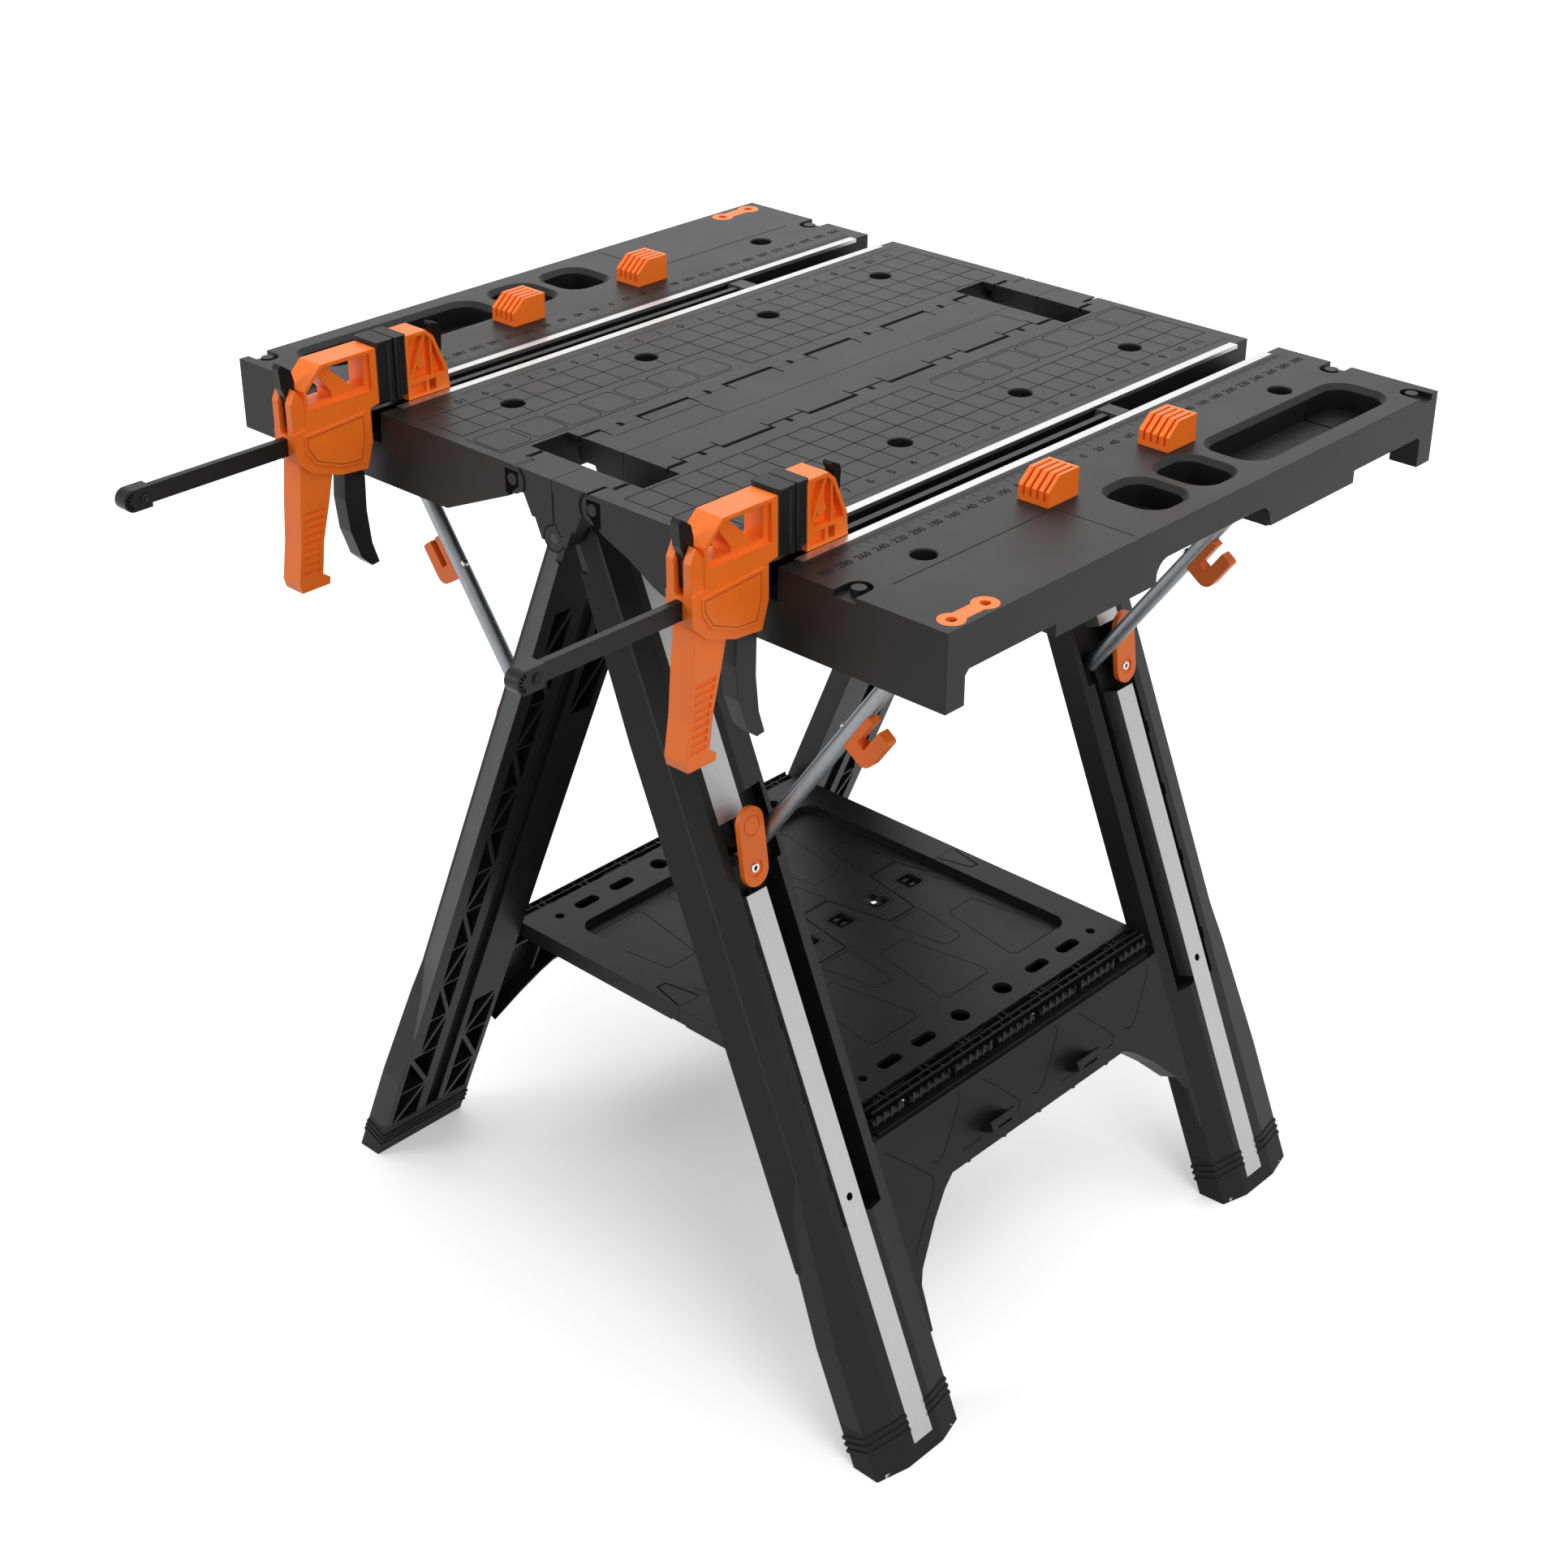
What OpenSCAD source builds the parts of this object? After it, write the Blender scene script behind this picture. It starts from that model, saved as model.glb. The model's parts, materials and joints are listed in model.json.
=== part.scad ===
// Folding workbench with two wings, four legs in two frames and a drop tray.
// X runs across the wings, Y along the clamp channels, Z up from the floor.
// The origin is on the floor, below the middle of the table top.

/* [Table top] */
// Size across both wings
top_across = 787.4; // [782:0.1:790]
// Size along the clamp channels
top_len = 635; // [633:1:637]
// Height of the working surface above the floor
top_z = 813; // [812:0.5:814]
// Thickness of the working surface
skin = 7; // [5:0.5:8]
// Distance from the middle to the centre of each clamp channel
channel_x = 221.5; // [220:0.5:223]
// Radius of the bench dog holes
dog_hole_r = 10; // [9.5:0.1:10.5]
// Spacing of the dog holes along the bench
dog_pitch = 152.4; // [150:0.1:154]

/* [Legs] */
// Distance from the middle to the outer face of each leg at the floor
foot_x = 350.6; // [348:0.2:352]
// Lean of the legs from upright, in degrees
lean = 22.78; // [22.6:0.02:22.9]
// Height of the moulded foot
foot_h = 41; // [38:1:46]

/* [Tray] */
// Height of the tray's rim
tray_z = 266.5; // [266:0.5:267]
// Half of the tray's size along the channels
tray_half = 194.5; // [192:0.5:196]

/* [Struts] */
// Radius of the strut tubes
tube_r = 7.1; // [6.9:0.1:7.3]
// Distance of the struts from the middle, along the channels
strut_y = 226; // [225:0.5:227]

/* [Clamps] */
// How far the clamp bar runs into the channel on the right and the left
bar_in = [91, 117]; // [80:1:130]
// Width of the clamp body
clamp_w = 26; // [24:1:26]

/* [Hidden] */
$fn = 48;
half_x = top_across / 2;
half_y = top_len / 2;
skin_z = top_z - skin;
rise = cos(lean);
black = "#2b2b2b";
orange = "#e8762c";
steel = "#b5b5b5";

// Fold axes, in x and z
hinge_x = 45;
hinge_z = top_z - 12;
apex_z = top_z - 49;
leg_top = apex_z + 12;
// Half of the angle between the frames when they are closed together
closed_half = 21.2;
// Wing knuckles along y, and the end knuckles
knuckles = [[-20, 20], [80, 120], [180, 220], [-120, -80], [-220, -180]];
end_knuckle = 299;
knuckle_gap = 0.4;
// Handle slot through both halves of the spine
slot_y = [241.5, 281.5];
slot_x = 63.5;

// Strut pivots, in x and z
strut_low = [129.5, 506];
strut_top = [314, 764];
strut_len = norm(strut_top - strut_low);
strut_pin_r = 3;
strut_tilt = atan2(strut_top[0] - strut_low[0], strut_top[1] - strut_low[1]);
lever_pin = [139, 508];
lever_pin_up = (foot_x - lever_pin[0]) * sin(lean) + lever_pin[1] * rise;

// Tray hinge, in x and z
tray_pin = [229, 254.5];
seam_z = 250.5;
frame_ledge_z = 247;
lug_y = [-150, -90, -30, 30, 90, 150];

// Prisms with a side profile
module along_y(y0, y1) {
  translate([0, y1, 0]) rotate([90, 0, 0]) linear_extrude(y1 - y0) children();
}
module along_x(x0, x1) {
  translate([x0, 0, 0]) rotate([90, 0, 90]) linear_extrude(x1 - x0) children();
}
module block(x, y, z) {
  translate([x[0], y[0], z[0]]) cube([x[1] - x[0], y[1] - y[0], z[1] - z[0]]);
}
// Round bar along y or x
module rod_y(x, z, r, y0, y1) {
  translate([x, y1, z]) rotate([90, 0, 0]) cylinder(r = r, h = y1 - y0);
}
module rod_x(y, z, r, x0, x1) {
  translate([x0, y, z]) rotate([0, 90, 0]) cylinder(r = r, h = x1 - x0);
}
// Block with upright edges of radius r
module soft_block(x, y, z, r) {
  block([x[0] + r, x[1] - r], y, z);
  block(x, [y[0] + r, y[1] - r], z);
  for (cx = [x[0] + r, x[1] - r], cy = [y[0] + r, y[1] - r])
    translate([cx, cy, z[0]]) cylinder(r = r, h = z[1] - z[0]);
}
module front_and_back() {
  children();
  mirror([0, 1, 0]) children();
}
module on_left() {
  mirror([1, 0, 0]) children();
}
module on_front() {
  mirror([0, 1, 0]) children();
}
// The left wing is the right one turned half round
module turned() {
  rotate([0, 0, 180]) children();
}

// Legs: a frame of reference that leans with the right leg.
// Its x points out of the leg's face, and its z runs up the leg.
module on_leg() {
  translate([foot_x, 0, 0]) rotate([0, -lean, 0]) children();
}
function up(z) = z / rise;

module leg_solid() {
  intersection() {
    on_leg() translate([0, 0, -30]) linear_extrude(930)
      polygon([[0, 230], [0, 275], [-7.2, 307], [-31.6, 307], [-31.6, 200], [-7.2, 202]]);
    on_leg() along_x(-40, 1) polygon([
      [190, -40], [307, -40], [307, up(118)], [299, up(225)], [294, up(260)], [294, 900], [190, 900]
    ]);
    block([-20, 400], [190, 320], [0, leg_top]);
  }
  // The outer flank widens towards the inner side of the leg
  intersection() {
    on_leg() translate([0, 0, up(180)]) linear_extrude(800)
      polygon([[-7.2, 294], [-31.6, 304], [-31.6, 280], [-7.2, 280]]);
    block([-20, 400], [190, 320], [150, leg_top]);
  }
}

// Steel channel let into the face of a leg
channel_y = [238, 261.5];
channel_wide_y = [238, 267];
channel_split = 536;
module channel_seat() {
  on_leg() block([-20, 2], channel_y, [up(14), up(channel_split)]);
  on_leg() block([-20, 2], channel_wide_y, [up(channel_split), up(leg_top) + 20]);
}

// Slot in the face of a leg that takes the strut when the bench is folded
module strut_recess() {
  on_leg() block([-28, 2], [215, 238], [up(205) + 6, up(515)]);
  on_leg() block([-28, 2], [215, 232], [up(205), up(206) + 6]);
  on_leg() translate([-28, 232, up(205) + 6]) rotate([0, 90, 0]) cylinder(r = 6, h = 30);
  on_leg() block([-18, 2], [208, 245], [up(492), up(551)]);
}

// Pockets of the open inner side, between level ribs and slanting ribs
rib_pitch = 52;
rib_t = 2.4;
module inner_pockets(y0, y1, z0, z1, depth) {
  count = floor((z1 - z0) / rib_pitch);
  for (i = [0 : count - 1]) {
    low = z0 + i * (z1 - z0) / count + rib_t;
    high = z0 + (i + 1) * (z1 - z0) / count;
    lean_left = i % 2 == 0;
    a = lean_left ? y0 : y1;
    b = lean_left ? y1 : y0;
    s = lean_left ? rib_t : -rib_t;
    along_x(-45, -depth) polygon([[a, low], [b - s, low], [a, high - rib_t * 2]]);
    along_x(-45, -depth) polygon([[b, high], [a + s, high], [b, low + rib_t * 2]]);
  }
}

// Wedge that the other frame needs when the two close together
module closing_relief() {
  low = 560;
  along_y(-330, 330) polygon([
    [-60, low],
    [(apex_z - low) * tan(closed_half) + 0.7, low],
    [0.7, apex_z - 0.1],
    [0.7, leg_top + 1],
    [-60, leg_top + 1]
  ]);
}

module leg() {
  difference() {
    leg_solid();
    channel_seat();
    strut_recess();
    // Foot moulding takes the lowest part
    block([200, 400], [190, 320], [-1, foot_h]);
    on_leg() inner_pockets(269, 300, up(foot_h) + 6, up(150), 11);
    on_leg() inner_pockets(269, 290, up(150), up(690), 9);
    on_leg() inner_pockets(206, 234, up(foot_h) + 6, up(196), 11);
    on_leg() inner_pockets(207, 234, up(556), up(690), 8);
    on_leg() block([-45, -25], [242, 257.5], [up(foot_h) + 6, up(700)]);
    // Narrow groove beside the steel channel, with moulding slots
    on_leg() block([-5, 2], [261.5, 266], [up(205), up(channel_split)]);
    for (z = [236, 310, 372, 430])
      on_leg() block([-9, 2], [264, 268], [up(z), up(z) + 12]);
    // Seat of the locking lever
    on_leg() block([-13, 2], [245, 266], [up(487), up(channel_split)]);
    // Screw hole through the channel
    on_leg() translate([-24, 250, up(224)]) rotate([0, 90, 0]) cylinder(r = 3.5, h = 30);
    // Hand room below the slot in the spine
    block([-20, 70], slot_y, [top_z - 52, top_z]);
    closing_relief();
    // Room for the apex bolt and the brackets of the spine
    block([-20, 40], [299.7, 330], [apex_z - 30, leg_top + 1]);
    rod_y(0, apex_z, 6.9, 296.7, 300);
  }
  // Lever pin with its two ears
  for (y = [[245, 248.6], [262, 266]]) {
    rod_y(lever_pin[0], lever_pin[1], 4.6, y[0], y[1]);
    on_leg() block([-21, 1.5], y, [lever_pin_up - 4.5, lever_pin_up + 4.5]);
  }
  rod_y(lever_pin[0], lever_pin[1], 2.2, 247, 263);
}

// Cross panel between the two legs of a frame
panel_half = 203;
function panel_outline(e) = [
  [-panel_half, frame_ledge_z - e], [-panel_half, 81], [-199 + e, 81], [-196 + e, 120], [-190 + e, 131 + e],
  [-161, 160 + e], [-139, 178 + e], [-125, 186 + e], [125, 186 + e], [139, 178 + e],
  [161, 160 + e], [190 - e, 131 + e], [196 - e, 120], [199 - e, 81],
  [panel_half, 81], [panel_half, frame_ledge_z - e]
];
function panel_points(e) = [for (p = panel_outline(e)) [p[0], up(p[1])]];
module panel() {
  difference() {
    union() {
      on_leg() along_x(-11.2, -7.2) polygon(panel_points(0));
      on_leg() difference() {
        along_x(-28, -9) polygon(panel_points(0));
        along_x(-29, -8) polygon(panel_points(3.5));
        along_x(-29, -8) polygon([[-196, up(90)], [-204, up(90)], [-204, up(240)], [-196, up(240)]]);
        along_x(-29, -8) polygon([[196, up(90)], [204, up(90)], [204, up(240)], [196, up(240)]]);
      }
      // Stiffening ribs behind the panel
      for (y = [-150, -100, -50, 0, 50, 100, 150])
        on_leg() block([-24, -9], [y - 1.5, y + 1.5], [up(184), up(frame_ledge_z - 1)]);
      // Shelf below the hinge of the tray
      block([222, 237.5], [-193, 193], [frame_ledge_z - 4, frame_ledge_z + 2]);
    }
    // The ledge under the tray is level
    block([100, 400], [-210, 210], [frame_ledge_z, 300]);
  }
  // Two moulded hooks on the outer face
  for (y = [-62, 62])
    on_leg() translate([0, y, up(203)]) panel_hook();
}
module panel_hook() {
  along_x(-7.2, 8) polygon([
    for (a = [0 : 15 : 180]) [17 * cos(180 + a), 7 * sin(180 + a)],
    [17, 4], [12, 4], [9, -1], [-9, -1], [-12, 4], [-17, 4]
  ]);
  block([5, 8], [-17, 17], [1, 8]);
}

module frame_common() {
  front_and_back() leg();
  panel();
}

module left_frame() {
  color(black) {
    on_left() frame_common();
    // Lugs that carry the tray's hinge rod
    for (y = lug_y)
      difference() {
        union() {
          rod_y(-tray_pin[0], tray_pin[1], 5, y - 4, y + 4);
          block([-tray_pin[0] - 5, -tray_pin[0] + 5], [y - 4, y + 4], [frame_ledge_z - 8, tray_pin[1]]);
        }
        rod_y(-tray_pin[0], tray_pin[1], 2.5, y - 5, y + 5);
      }
  }
}
module right_frame() {
  color(black) frame_common();
}

// Half of the spine, with the apex bracket at each end
module spine_half(outer) {
  outer_disc = [309.3, half_y];
  inner_disc = [300, 309];
  own = outer ? outer_disc : inner_disc;
  other = outer ? inner_disc : outer_disc;
  difference() {
    union() {
      // Beam under the middle of the table
      difference() {
        along_y(-half_y, half_y) polygon([
          [0.25, top_z], [48.5, top_z], [48.5, hinge_z], [hinge_x, hinge_z - 8], [33, hinge_z - 8],
          [24.5, leg_top], [0.25, leg_top]
        ]);
        // Hollow underside between the legs
        for (y = [-175, -105, -35, 35, 105, 175])
          block([4, 29], [y - 32, y + 32], [leg_top - 1, top_z - 6]);
      }
      for (y = [[-299, 299]]) rod_y(hinge_x, hinge_z, 8, y[0], y[1]);
      // Bracket that comes down to the apex bolt
      front_and_back() along_y(300, half_y)
        polygon([[0.25, top_z], [34, top_z], [30, top_z - 16], [14, apex_z - 4], [0.7, apex_z - 4]]);
      front_and_back() rod_y(0, apex_z, 10.5, own[0], own[1]);
    }
    // Room for the knuckles of the wing
    for (k = knuckles) {
      rod_y(hinge_x, hinge_z, 12.4, k[0] - knuckle_gap, k[1] + knuckle_gap);
      block([hinge_x, 60], [k[0] - knuckle_gap, k[1] + knuckle_gap], [hinge_z - 13, top_z + 1]);
    }
    front_and_back() {
      rod_y(hinge_x, hinge_z, 12.4, end_knuckle - knuckle_gap, half_y + 1);
      block([hinge_x - 6, 60], [end_knuckle - knuckle_gap, half_y + 1], [hinge_z - 14, top_z + 1]);
    }
    // Room for the other half's disc on the apex bolt
    front_and_back() rod_y(0, apex_z, 11.2, other[0] - 0.3, other[1] + (outer ? 0.3 : 1));
    front_and_back() block([-20, slot_x], slot_y, [leg_top - 20, top_z + 1]);
    front_and_back() rod_y(0, apex_z, outer ? 4.05 : 4, own[0] - 1, own[1] + 1);
    rod_y(hinge_x, hinge_z, 3, -330, 330);
  }
}
module left_spine() {
  color(black) on_left() spine_half(false);
}
module right_spine() {
  color(black) spine_half(true);
}
module apex_bolts() {
  color(steel) front_and_back() {
    rod_y(0, apex_z, 4, 300, half_y);
    rod_y(0, apex_z, 6.5, 297, 300);
  }
}

// Steel channel, wider behind the top of the strut
module channel_piece() {
  color(steel) difference() {
    intersection() {
      union() {
        on_leg() block([-18, 0], channel_y, [up(14), up(477)]);
        on_leg() block([-18, 0], channel_wide_y, [up(channel_split), up(leg_top) + 20]);
      }
      block([-20, 400], [190, 320], [0, leg_top]);
    }
    on_leg() block([-30, -2], [channel_y[0] + 2, channel_y[1] - 2], [0, up(478)]);
    on_leg() block([-30, -2], [channel_wide_y[0] + 2, channel_wide_y[1] - 2], [up(channel_split) - 5, 900]);
    on_leg() translate([-24, 250, up(224)]) rotate([0, 90, 0]) cylinder(r = 3.5, h = 30);
    block([-20, 70], slot_y, [top_z - 52, top_z]);
    closing_relief();
  }
}
module channel_left_front() { on_left() on_front() channel_piece(); }
module channel_left_back() { on_left() channel_piece(); }
module channel_right_front() { on_front() channel_piece(); }
module channel_right_back() { channel_piece(); }

// Foot: the leg's own section with three raised beads
module foot_piece() {
  color(black) difference() {
    union() {
      intersection() {
        leg_solid();
        block([200, 400], [190, 320], [-1, foot_h]);
      }
      for (i = [0 : 2])
        intersection() {
          on_leg() translate([0, 0, up(26) + i * 6.5]) linear_extrude(3)
            polygon([[1.2, 229.6], [1.2, 275.4], [-6.6, 308.4], [-32.8, 308.4], [-32.8, 198.8], [-6.6, 200.8]]);
          block([200, 400], [190, 320], [-1, foot_h]);
        }
    }
    channel_seat();
    // Shallow hollow in the tread
    block([318, 345], [210, 236], [-1, 3]);
    block([318, 345], [264, 298], [-1, 3]);
  }
}
module foot_left_front() { on_left() on_front() foot_piece(); }
module foot_left_back() { on_left() foot_piece(); }
module foot_right_front() { on_front() foot_piece(); }
module foot_right_back() { foot_piece(); }

// Wing
trough_z = 783;
pocket_floor = 790;
module tub(x, y, r) {
  soft_block([x[0] - 3, x[1] + 3], [y[0] - 3, y[1] + 3], [pocket_floor - 3, skin_z + 1], r + 3);
}
module pocket(x, y, r) {
  soft_block(x, y, [pocket_floor, top_z + 1], r);
  flare(x, y, r);
}
// Sloping rim of a pocket
rim = 5;
module flare(x, y, r) {
  low = top_z + 0.5 - rim;
  for (cx = [x[0] + r, x[1] - r], cy = [y[0] + r, y[1] - r])
    translate([cx, cy, low]) cylinder(r1 = r, r2 = r + rim, h = rim);
  along_y(y[0] + r, y[1] - r)
    polygon([[x[0], low], [x[1], low], [x[1] + rim, low + rim], [x[0] - rim, low + rim]]);
  along_x(x[0] + r, x[1] - r)
    polygon([[y[0], low], [y[1], low], [y[1] + rim, low + rim], [y[0] - rim, low + rim]]);
}
long_pocket = [[319.5, 372], [82, 278]];
cup_a = [[320, 372], [-51, -4]];
cup_b = [[320, 372], [13.5, 60]];
dog_x = [143.5, 297];
dog_rows = [-1.5, -0.5, 0.5, 1.5];

module wing_skirts() {
  // Curved skirt at one end and straight at the other
  along_y(-half_y, -half_y + 5) polygon([
    [half_x, top_z], [half_x, 751], [129, 751.5], [118, 754], [108, 758], [84, 772], [54, 784], [50.5, 788],
    [50.5, top_z]
  ]);
  along_y(half_y - 5, half_y) polygon([
    [half_x, top_z], [half_x, 751], [127, 752.6], [50.5, 785.5], [50.5, top_z]
  ]);
  // Outer skirt with its arch
  along_x(half_x - 5, half_x) polygon([
    [-half_y, top_z], [-half_y, 751], [-297, 751], [-297, 774], [-293, 778], [-196, 778], [-196, 767.5], [-77, 767.5],
    for (a = [180 : -15 : 90]) [-61 + 14 * cos(a), 772.5 + 14 * sin(a)],
    for (a = [90 : -15 : 0]) [61 + 14 * cos(a), 772.5 + 14 * sin(a)],
    [77, 767.5], [196, 767.5], [196, 778], [293, 778], [297, 774], [297, 751], [half_y, 751], [half_y, top_z]
  ]);
  // Jambs that stiffen the steps of the outer skirt
  for (y = [-301, 297, -77, 73, -196, 192])
    block([half_x - 26, half_x - 1], [y, y + 4], [abs(y) > 250 ? 751 : 768, skin_z + 1]);
}

module wing_body() {
  difference() {
    union() {
      block([50.5, half_x], [-half_y, half_y], [skin_z, top_z]);
      for (k = knuckles) {
        rod_y(hinge_x, hinge_z, 12, k[0], k[1]);
        block([hinge_x, 62], k, [hinge_z, top_z]);
      }
      front_and_back() {
        rod_y(hinge_x, hinge_z, 12, end_knuckle, half_y);
        block([hinge_x, 62], [end_knuckle, half_y], [hinge_z - 11.4, top_z]);
      }
      wing_skirts();
      // Trough of the clamp channel
      block([channel_x - 21.5, channel_x + 21.5], [-half_y, half_y], [trough_z, skin_z + 1]);
      tub(long_pocket[0], long_pocket[1], 18);
      tub(cup_a[0], cup_a[1], 16);
      tub(cup_b[0], cup_b[1], 16);
      // Bosses below the dog holes
      for (x = dog_x, row = dog_rows)
        translate([x, row * dog_pitch, 786]) cylinder(r = 14, h = 21);
      // Ribs under the surface
      for (y = [-265, -190, -114, -38, 38, 114, 190, 265]) {
        block([60, channel_x - 21], [y - 1.3, y + 1.3], [792, skin_z + 1]);
        block([channel_x + 21, half_x - 4], [y - 1.3, y + 1.3], [792, skin_z + 1]);
      }
      for (x = [104, 172])
        block([x - 1.3, x + 1.3], [-half_y + 4, half_y - 4], [794, skin_z + 1]);
      for (x = [268, 310])
        block([x - 1.3, x + 1.3], [-half_y + 4, half_y - 4], [794, skin_z + 1]);
      // Inner wall beside the hinge
      block([64, 67], [-half_y + 4, half_y - 4], [781, skin_z + 1]);
      // Ears for the struts
      front_and_back() for (y = [[214.5, 218], [234, 237.5]])
        along_y(y[0], y[1]) {
          polygon([[289, skin_z], [343, skin_z], [323, 768], [305, 768]]);
          translate(strut_top) circle(r = 10);
        }
      front_and_back() rod_y(strut_top[0], strut_top[1], strut_pin_r, 216, 236);
    }
    // Channel, narrower past the ends of the rails
    block([channel_x - 13.5, channel_x + 13.5], [-298, 298], [trough_z + 4, top_z + 1]);
    block([channel_x - 16.5, channel_x + 15.5], [-half_y - 1, half_y + 1], [trough_z + 4, top_z + 1]);
    block([channel_x - 21.5, channel_x - 13], [-298, 298], [top_z - 3, top_z + 1]);
    block([channel_x + 13, channel_x + 21.5], [-298, 298], [top_z - 3, top_z + 1]);
    pocket(long_pocket[0], long_pocket[1], 18);
    pocket(cup_a[0], cup_a[1], 16);
    pocket(cup_b[0], cup_b[1], 16);
    for (x = dog_x, row = dog_rows)
      translate([x, row * dog_pitch, 780]) {
        cylinder(r = dog_hole_r, h = 40);
        translate([0, 0, top_z - 781]) cylinder(r1 = dog_hole_r, r2 = dog_hole_r + 1.2, h = 1.2);
      }
    // The ears are thinner where the locking levers pass them in the closed bench
    front_and_back() block([309, 345], [235.7, 238], [752, 797]);
    // Handle slot and the round beam knuckles
    front_and_back() block([hinge_x - 20, slot_x], slot_y, [740, top_z + 1]);
    for (y = [[-299, -220], [-180, -120], [-80, -20], [20, 80], [120, 180], [220, 299]])
      rod_y(hinge_x, hinge_z, 8.6, y[0] - knuckle_gap / 2, y[1] + knuckle_gap / 2);
    front_and_back() rod_y(hinge_x, hinge_z, 3.05, 0, 330);
    // Recess and hole of the link plate, and notches along the ends
    translate([0, 0, top_z - 3.5]) link_outline(0.25, 5);
    for (y = [-298.3, -261.7]) translate([380.7, y, 790]) cylinder(r = 4.2, h = 30);
    front_and_back() translate([300.3, 302.3, 0]) rotate([0, 0, 90]) boss_groove(10.3, 5.8);
    translate([380, 298.3, 0]) boss_groove(9.7, 5.4);
  }
}
// Groove round a boss, open towards the edge of the wing
module boss_groove(outer, inner) {
  difference() {
    union() {
      translate([0, 0, top_z - 5]) cylinder(r = outer, h = 6);
      block([0, 18], [-outer, outer], [top_z - 5, top_z + 1]);
    }
    translate([0, 0, top_z - 6]) cylinder(r = inner, h = 8);
  }
}
// Link plate outline: two discs joined by a waist
link_r = 10.5;
module link_outline(grow, h) {
  for (y = [-298.3, -261.7]) translate([380.7, y, 0]) cylinder(r = link_r + grow, h = h);
  block([380.7 - 6.5 - grow, 380.7 + 6.5 + grow], [-296, -264], [0, h]);
}
module right_wing() { color(black) wing_body(); }
module left_wing() { color(black) turned() wing_body(); }

// Two aluminium lips that line each clamp channel
module rails() {
  color("#e0e0e0") {
    along_y(-298, 298) polygon([
      [channel_x - 21.5, top_z - 3], [channel_x - 13.5, top_z - 3], [channel_x - 13.5, top_z + 0.3],
      [channel_x - 21.5, top_z + 0.3]
    ]);
    along_y(-298, 298) polygon([
      [channel_x + 13.5, top_z - 3], [channel_x + 21.5, top_z - 3], [channel_x + 21.5, top_z + 0.3],
      [channel_x + 13.5, top_z + 0.3]
    ]);
  }
}
module right_rails() { rails(); }
module left_rails() { turned() rails(); }

// Hinge rods, left out across the handle slots
module hinge_rod() {
  color(steel) {
    rod_y(hinge_x, hinge_z, 3, -slot_y[0], slot_y[0]);
    front_and_back() rod_y(hinge_x, hinge_z, 3, slot_y[1], half_y);
  }
}
module right_hinge_rod() { hinge_rod(); }
module left_hinge_rod() { on_left() hinge_rod(); }

// Strut: a tube with a flat eye at the top and a plugged end at the bottom
module on_strut() {
  translate([strut_low[0], 0, strut_low[1]]) rotate([0, strut_tilt, 0]) children();
}
module strut_piece() {
  color("#8d9095") {
    difference() {
      union() {
        on_strut() translate([0, strut_y, -6]) cylinder(r = tube_r, h = strut_len - 12);
        rod_y(strut_top[0], strut_top[1], 7, strut_y - 3.6, strut_y + 3.6);
        on_strut() block([-6, 6], [strut_y - 3.4, strut_y + 3.4], [strut_len - 24, strut_len]);
      }
      rod_y(strut_top[0], strut_top[1], strut_pin_r + 0.05, strut_y - 8, strut_y + 8);
      // Hollow tube with a plug in its lower end
      on_strut() translate([0, strut_y, -7]) cylinder(r = 3, h = 20);
      on_strut() translate([0, strut_y, 6]) cylinder(r = tube_r - 1.5, h = strut_len - 34);
    }
  }
}
module strut_left_front() { on_left() on_front() strut_piece(); }
module strut_left_back() { on_left() strut_piece(); }
module strut_right_front() { on_front() strut_piece(); }
module strut_right_back() { strut_piece(); }

// Storage hook: a plate on the lower side of the tube, with a slot that opens up along it
hook_foot = 158;
hook_half = 5.2;
module hook_piece() {
  color(orange) difference() {
    on_strut() translate([0, strut_y, hook_foot]) {
      along_y(-hook_half, hook_half) polygon([
        [3, 0], for (a = [-90 : 15 : 0]) [22 + 10 * cos(a), 10 + 10 * sin(a)],
        for (a = [0 : 30 : 90]) [29 + 3 * cos(a), 37 + 3 * sin(a)],
        [19.7, 40], [19.7, 14.5], [11.5, 14.5], [11.5, 40.5], [3, 40.5]
      ]);
    }
    on_strut() translate([0, strut_y, hook_foot - 5]) cylinder(r = tube_r, h = 60);
  }
}
module hook_left_front() { on_left() on_front() hook_piece(); }
module hook_left_back() { on_left() hook_piece(); }
module hook_right_front() { on_front() hook_piece(); }
module hook_right_back() { hook_piece(); }

// Locking lever: an oval plate on a hub
lever_tilt = 7.4;
lever_len = 70;
module lever_piece() {
  color(orange) difference() {
    translate([lever_pin[0], 250, lever_pin[1]]) rotate([0, -lever_tilt, 0]) {
      difference() {
        translate([5.4, 0, -12]) {
          rotate([0, 90, 0]) cylinder(r = 14, h = 5);
          translate([0, 0, lever_len - 28]) rotate([0, 90, 0]) cylinder(r = 14, h = 5);
          block([0, 5], [-14, 14], [0, lever_len - 28]);
        }
        // Cup of the rivet, and a thumb ring
        translate([8.6, 0, -10]) rotate([0, 90, 0]) cylinder(r = 7.4, h = 3);
        translate([9.6, 0, 28]) rotate([0, 90, 0]) difference() {
          cylinder(r = 8.8, h = 2);
          translate([0, 0, -1]) cylinder(r = 8, h = 4);
        }
      }
      // Web down to the hub
      block([0, 6], [-1, 11.4], [-4.8, 4.8]);
      rod_y(0, 0, 4.8, -1, 11.4);
    }
    rod_y(lever_pin[0], lever_pin[1], 2.25, 240, 270);
  }
}
module lever_left_front() { on_left() on_front() lever_piece(); }
module lever_left_back() { on_left() lever_piece(); }
module lever_right_front() { on_front() lever_piece(); }
module lever_right_back() { lever_piece(); }

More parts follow.
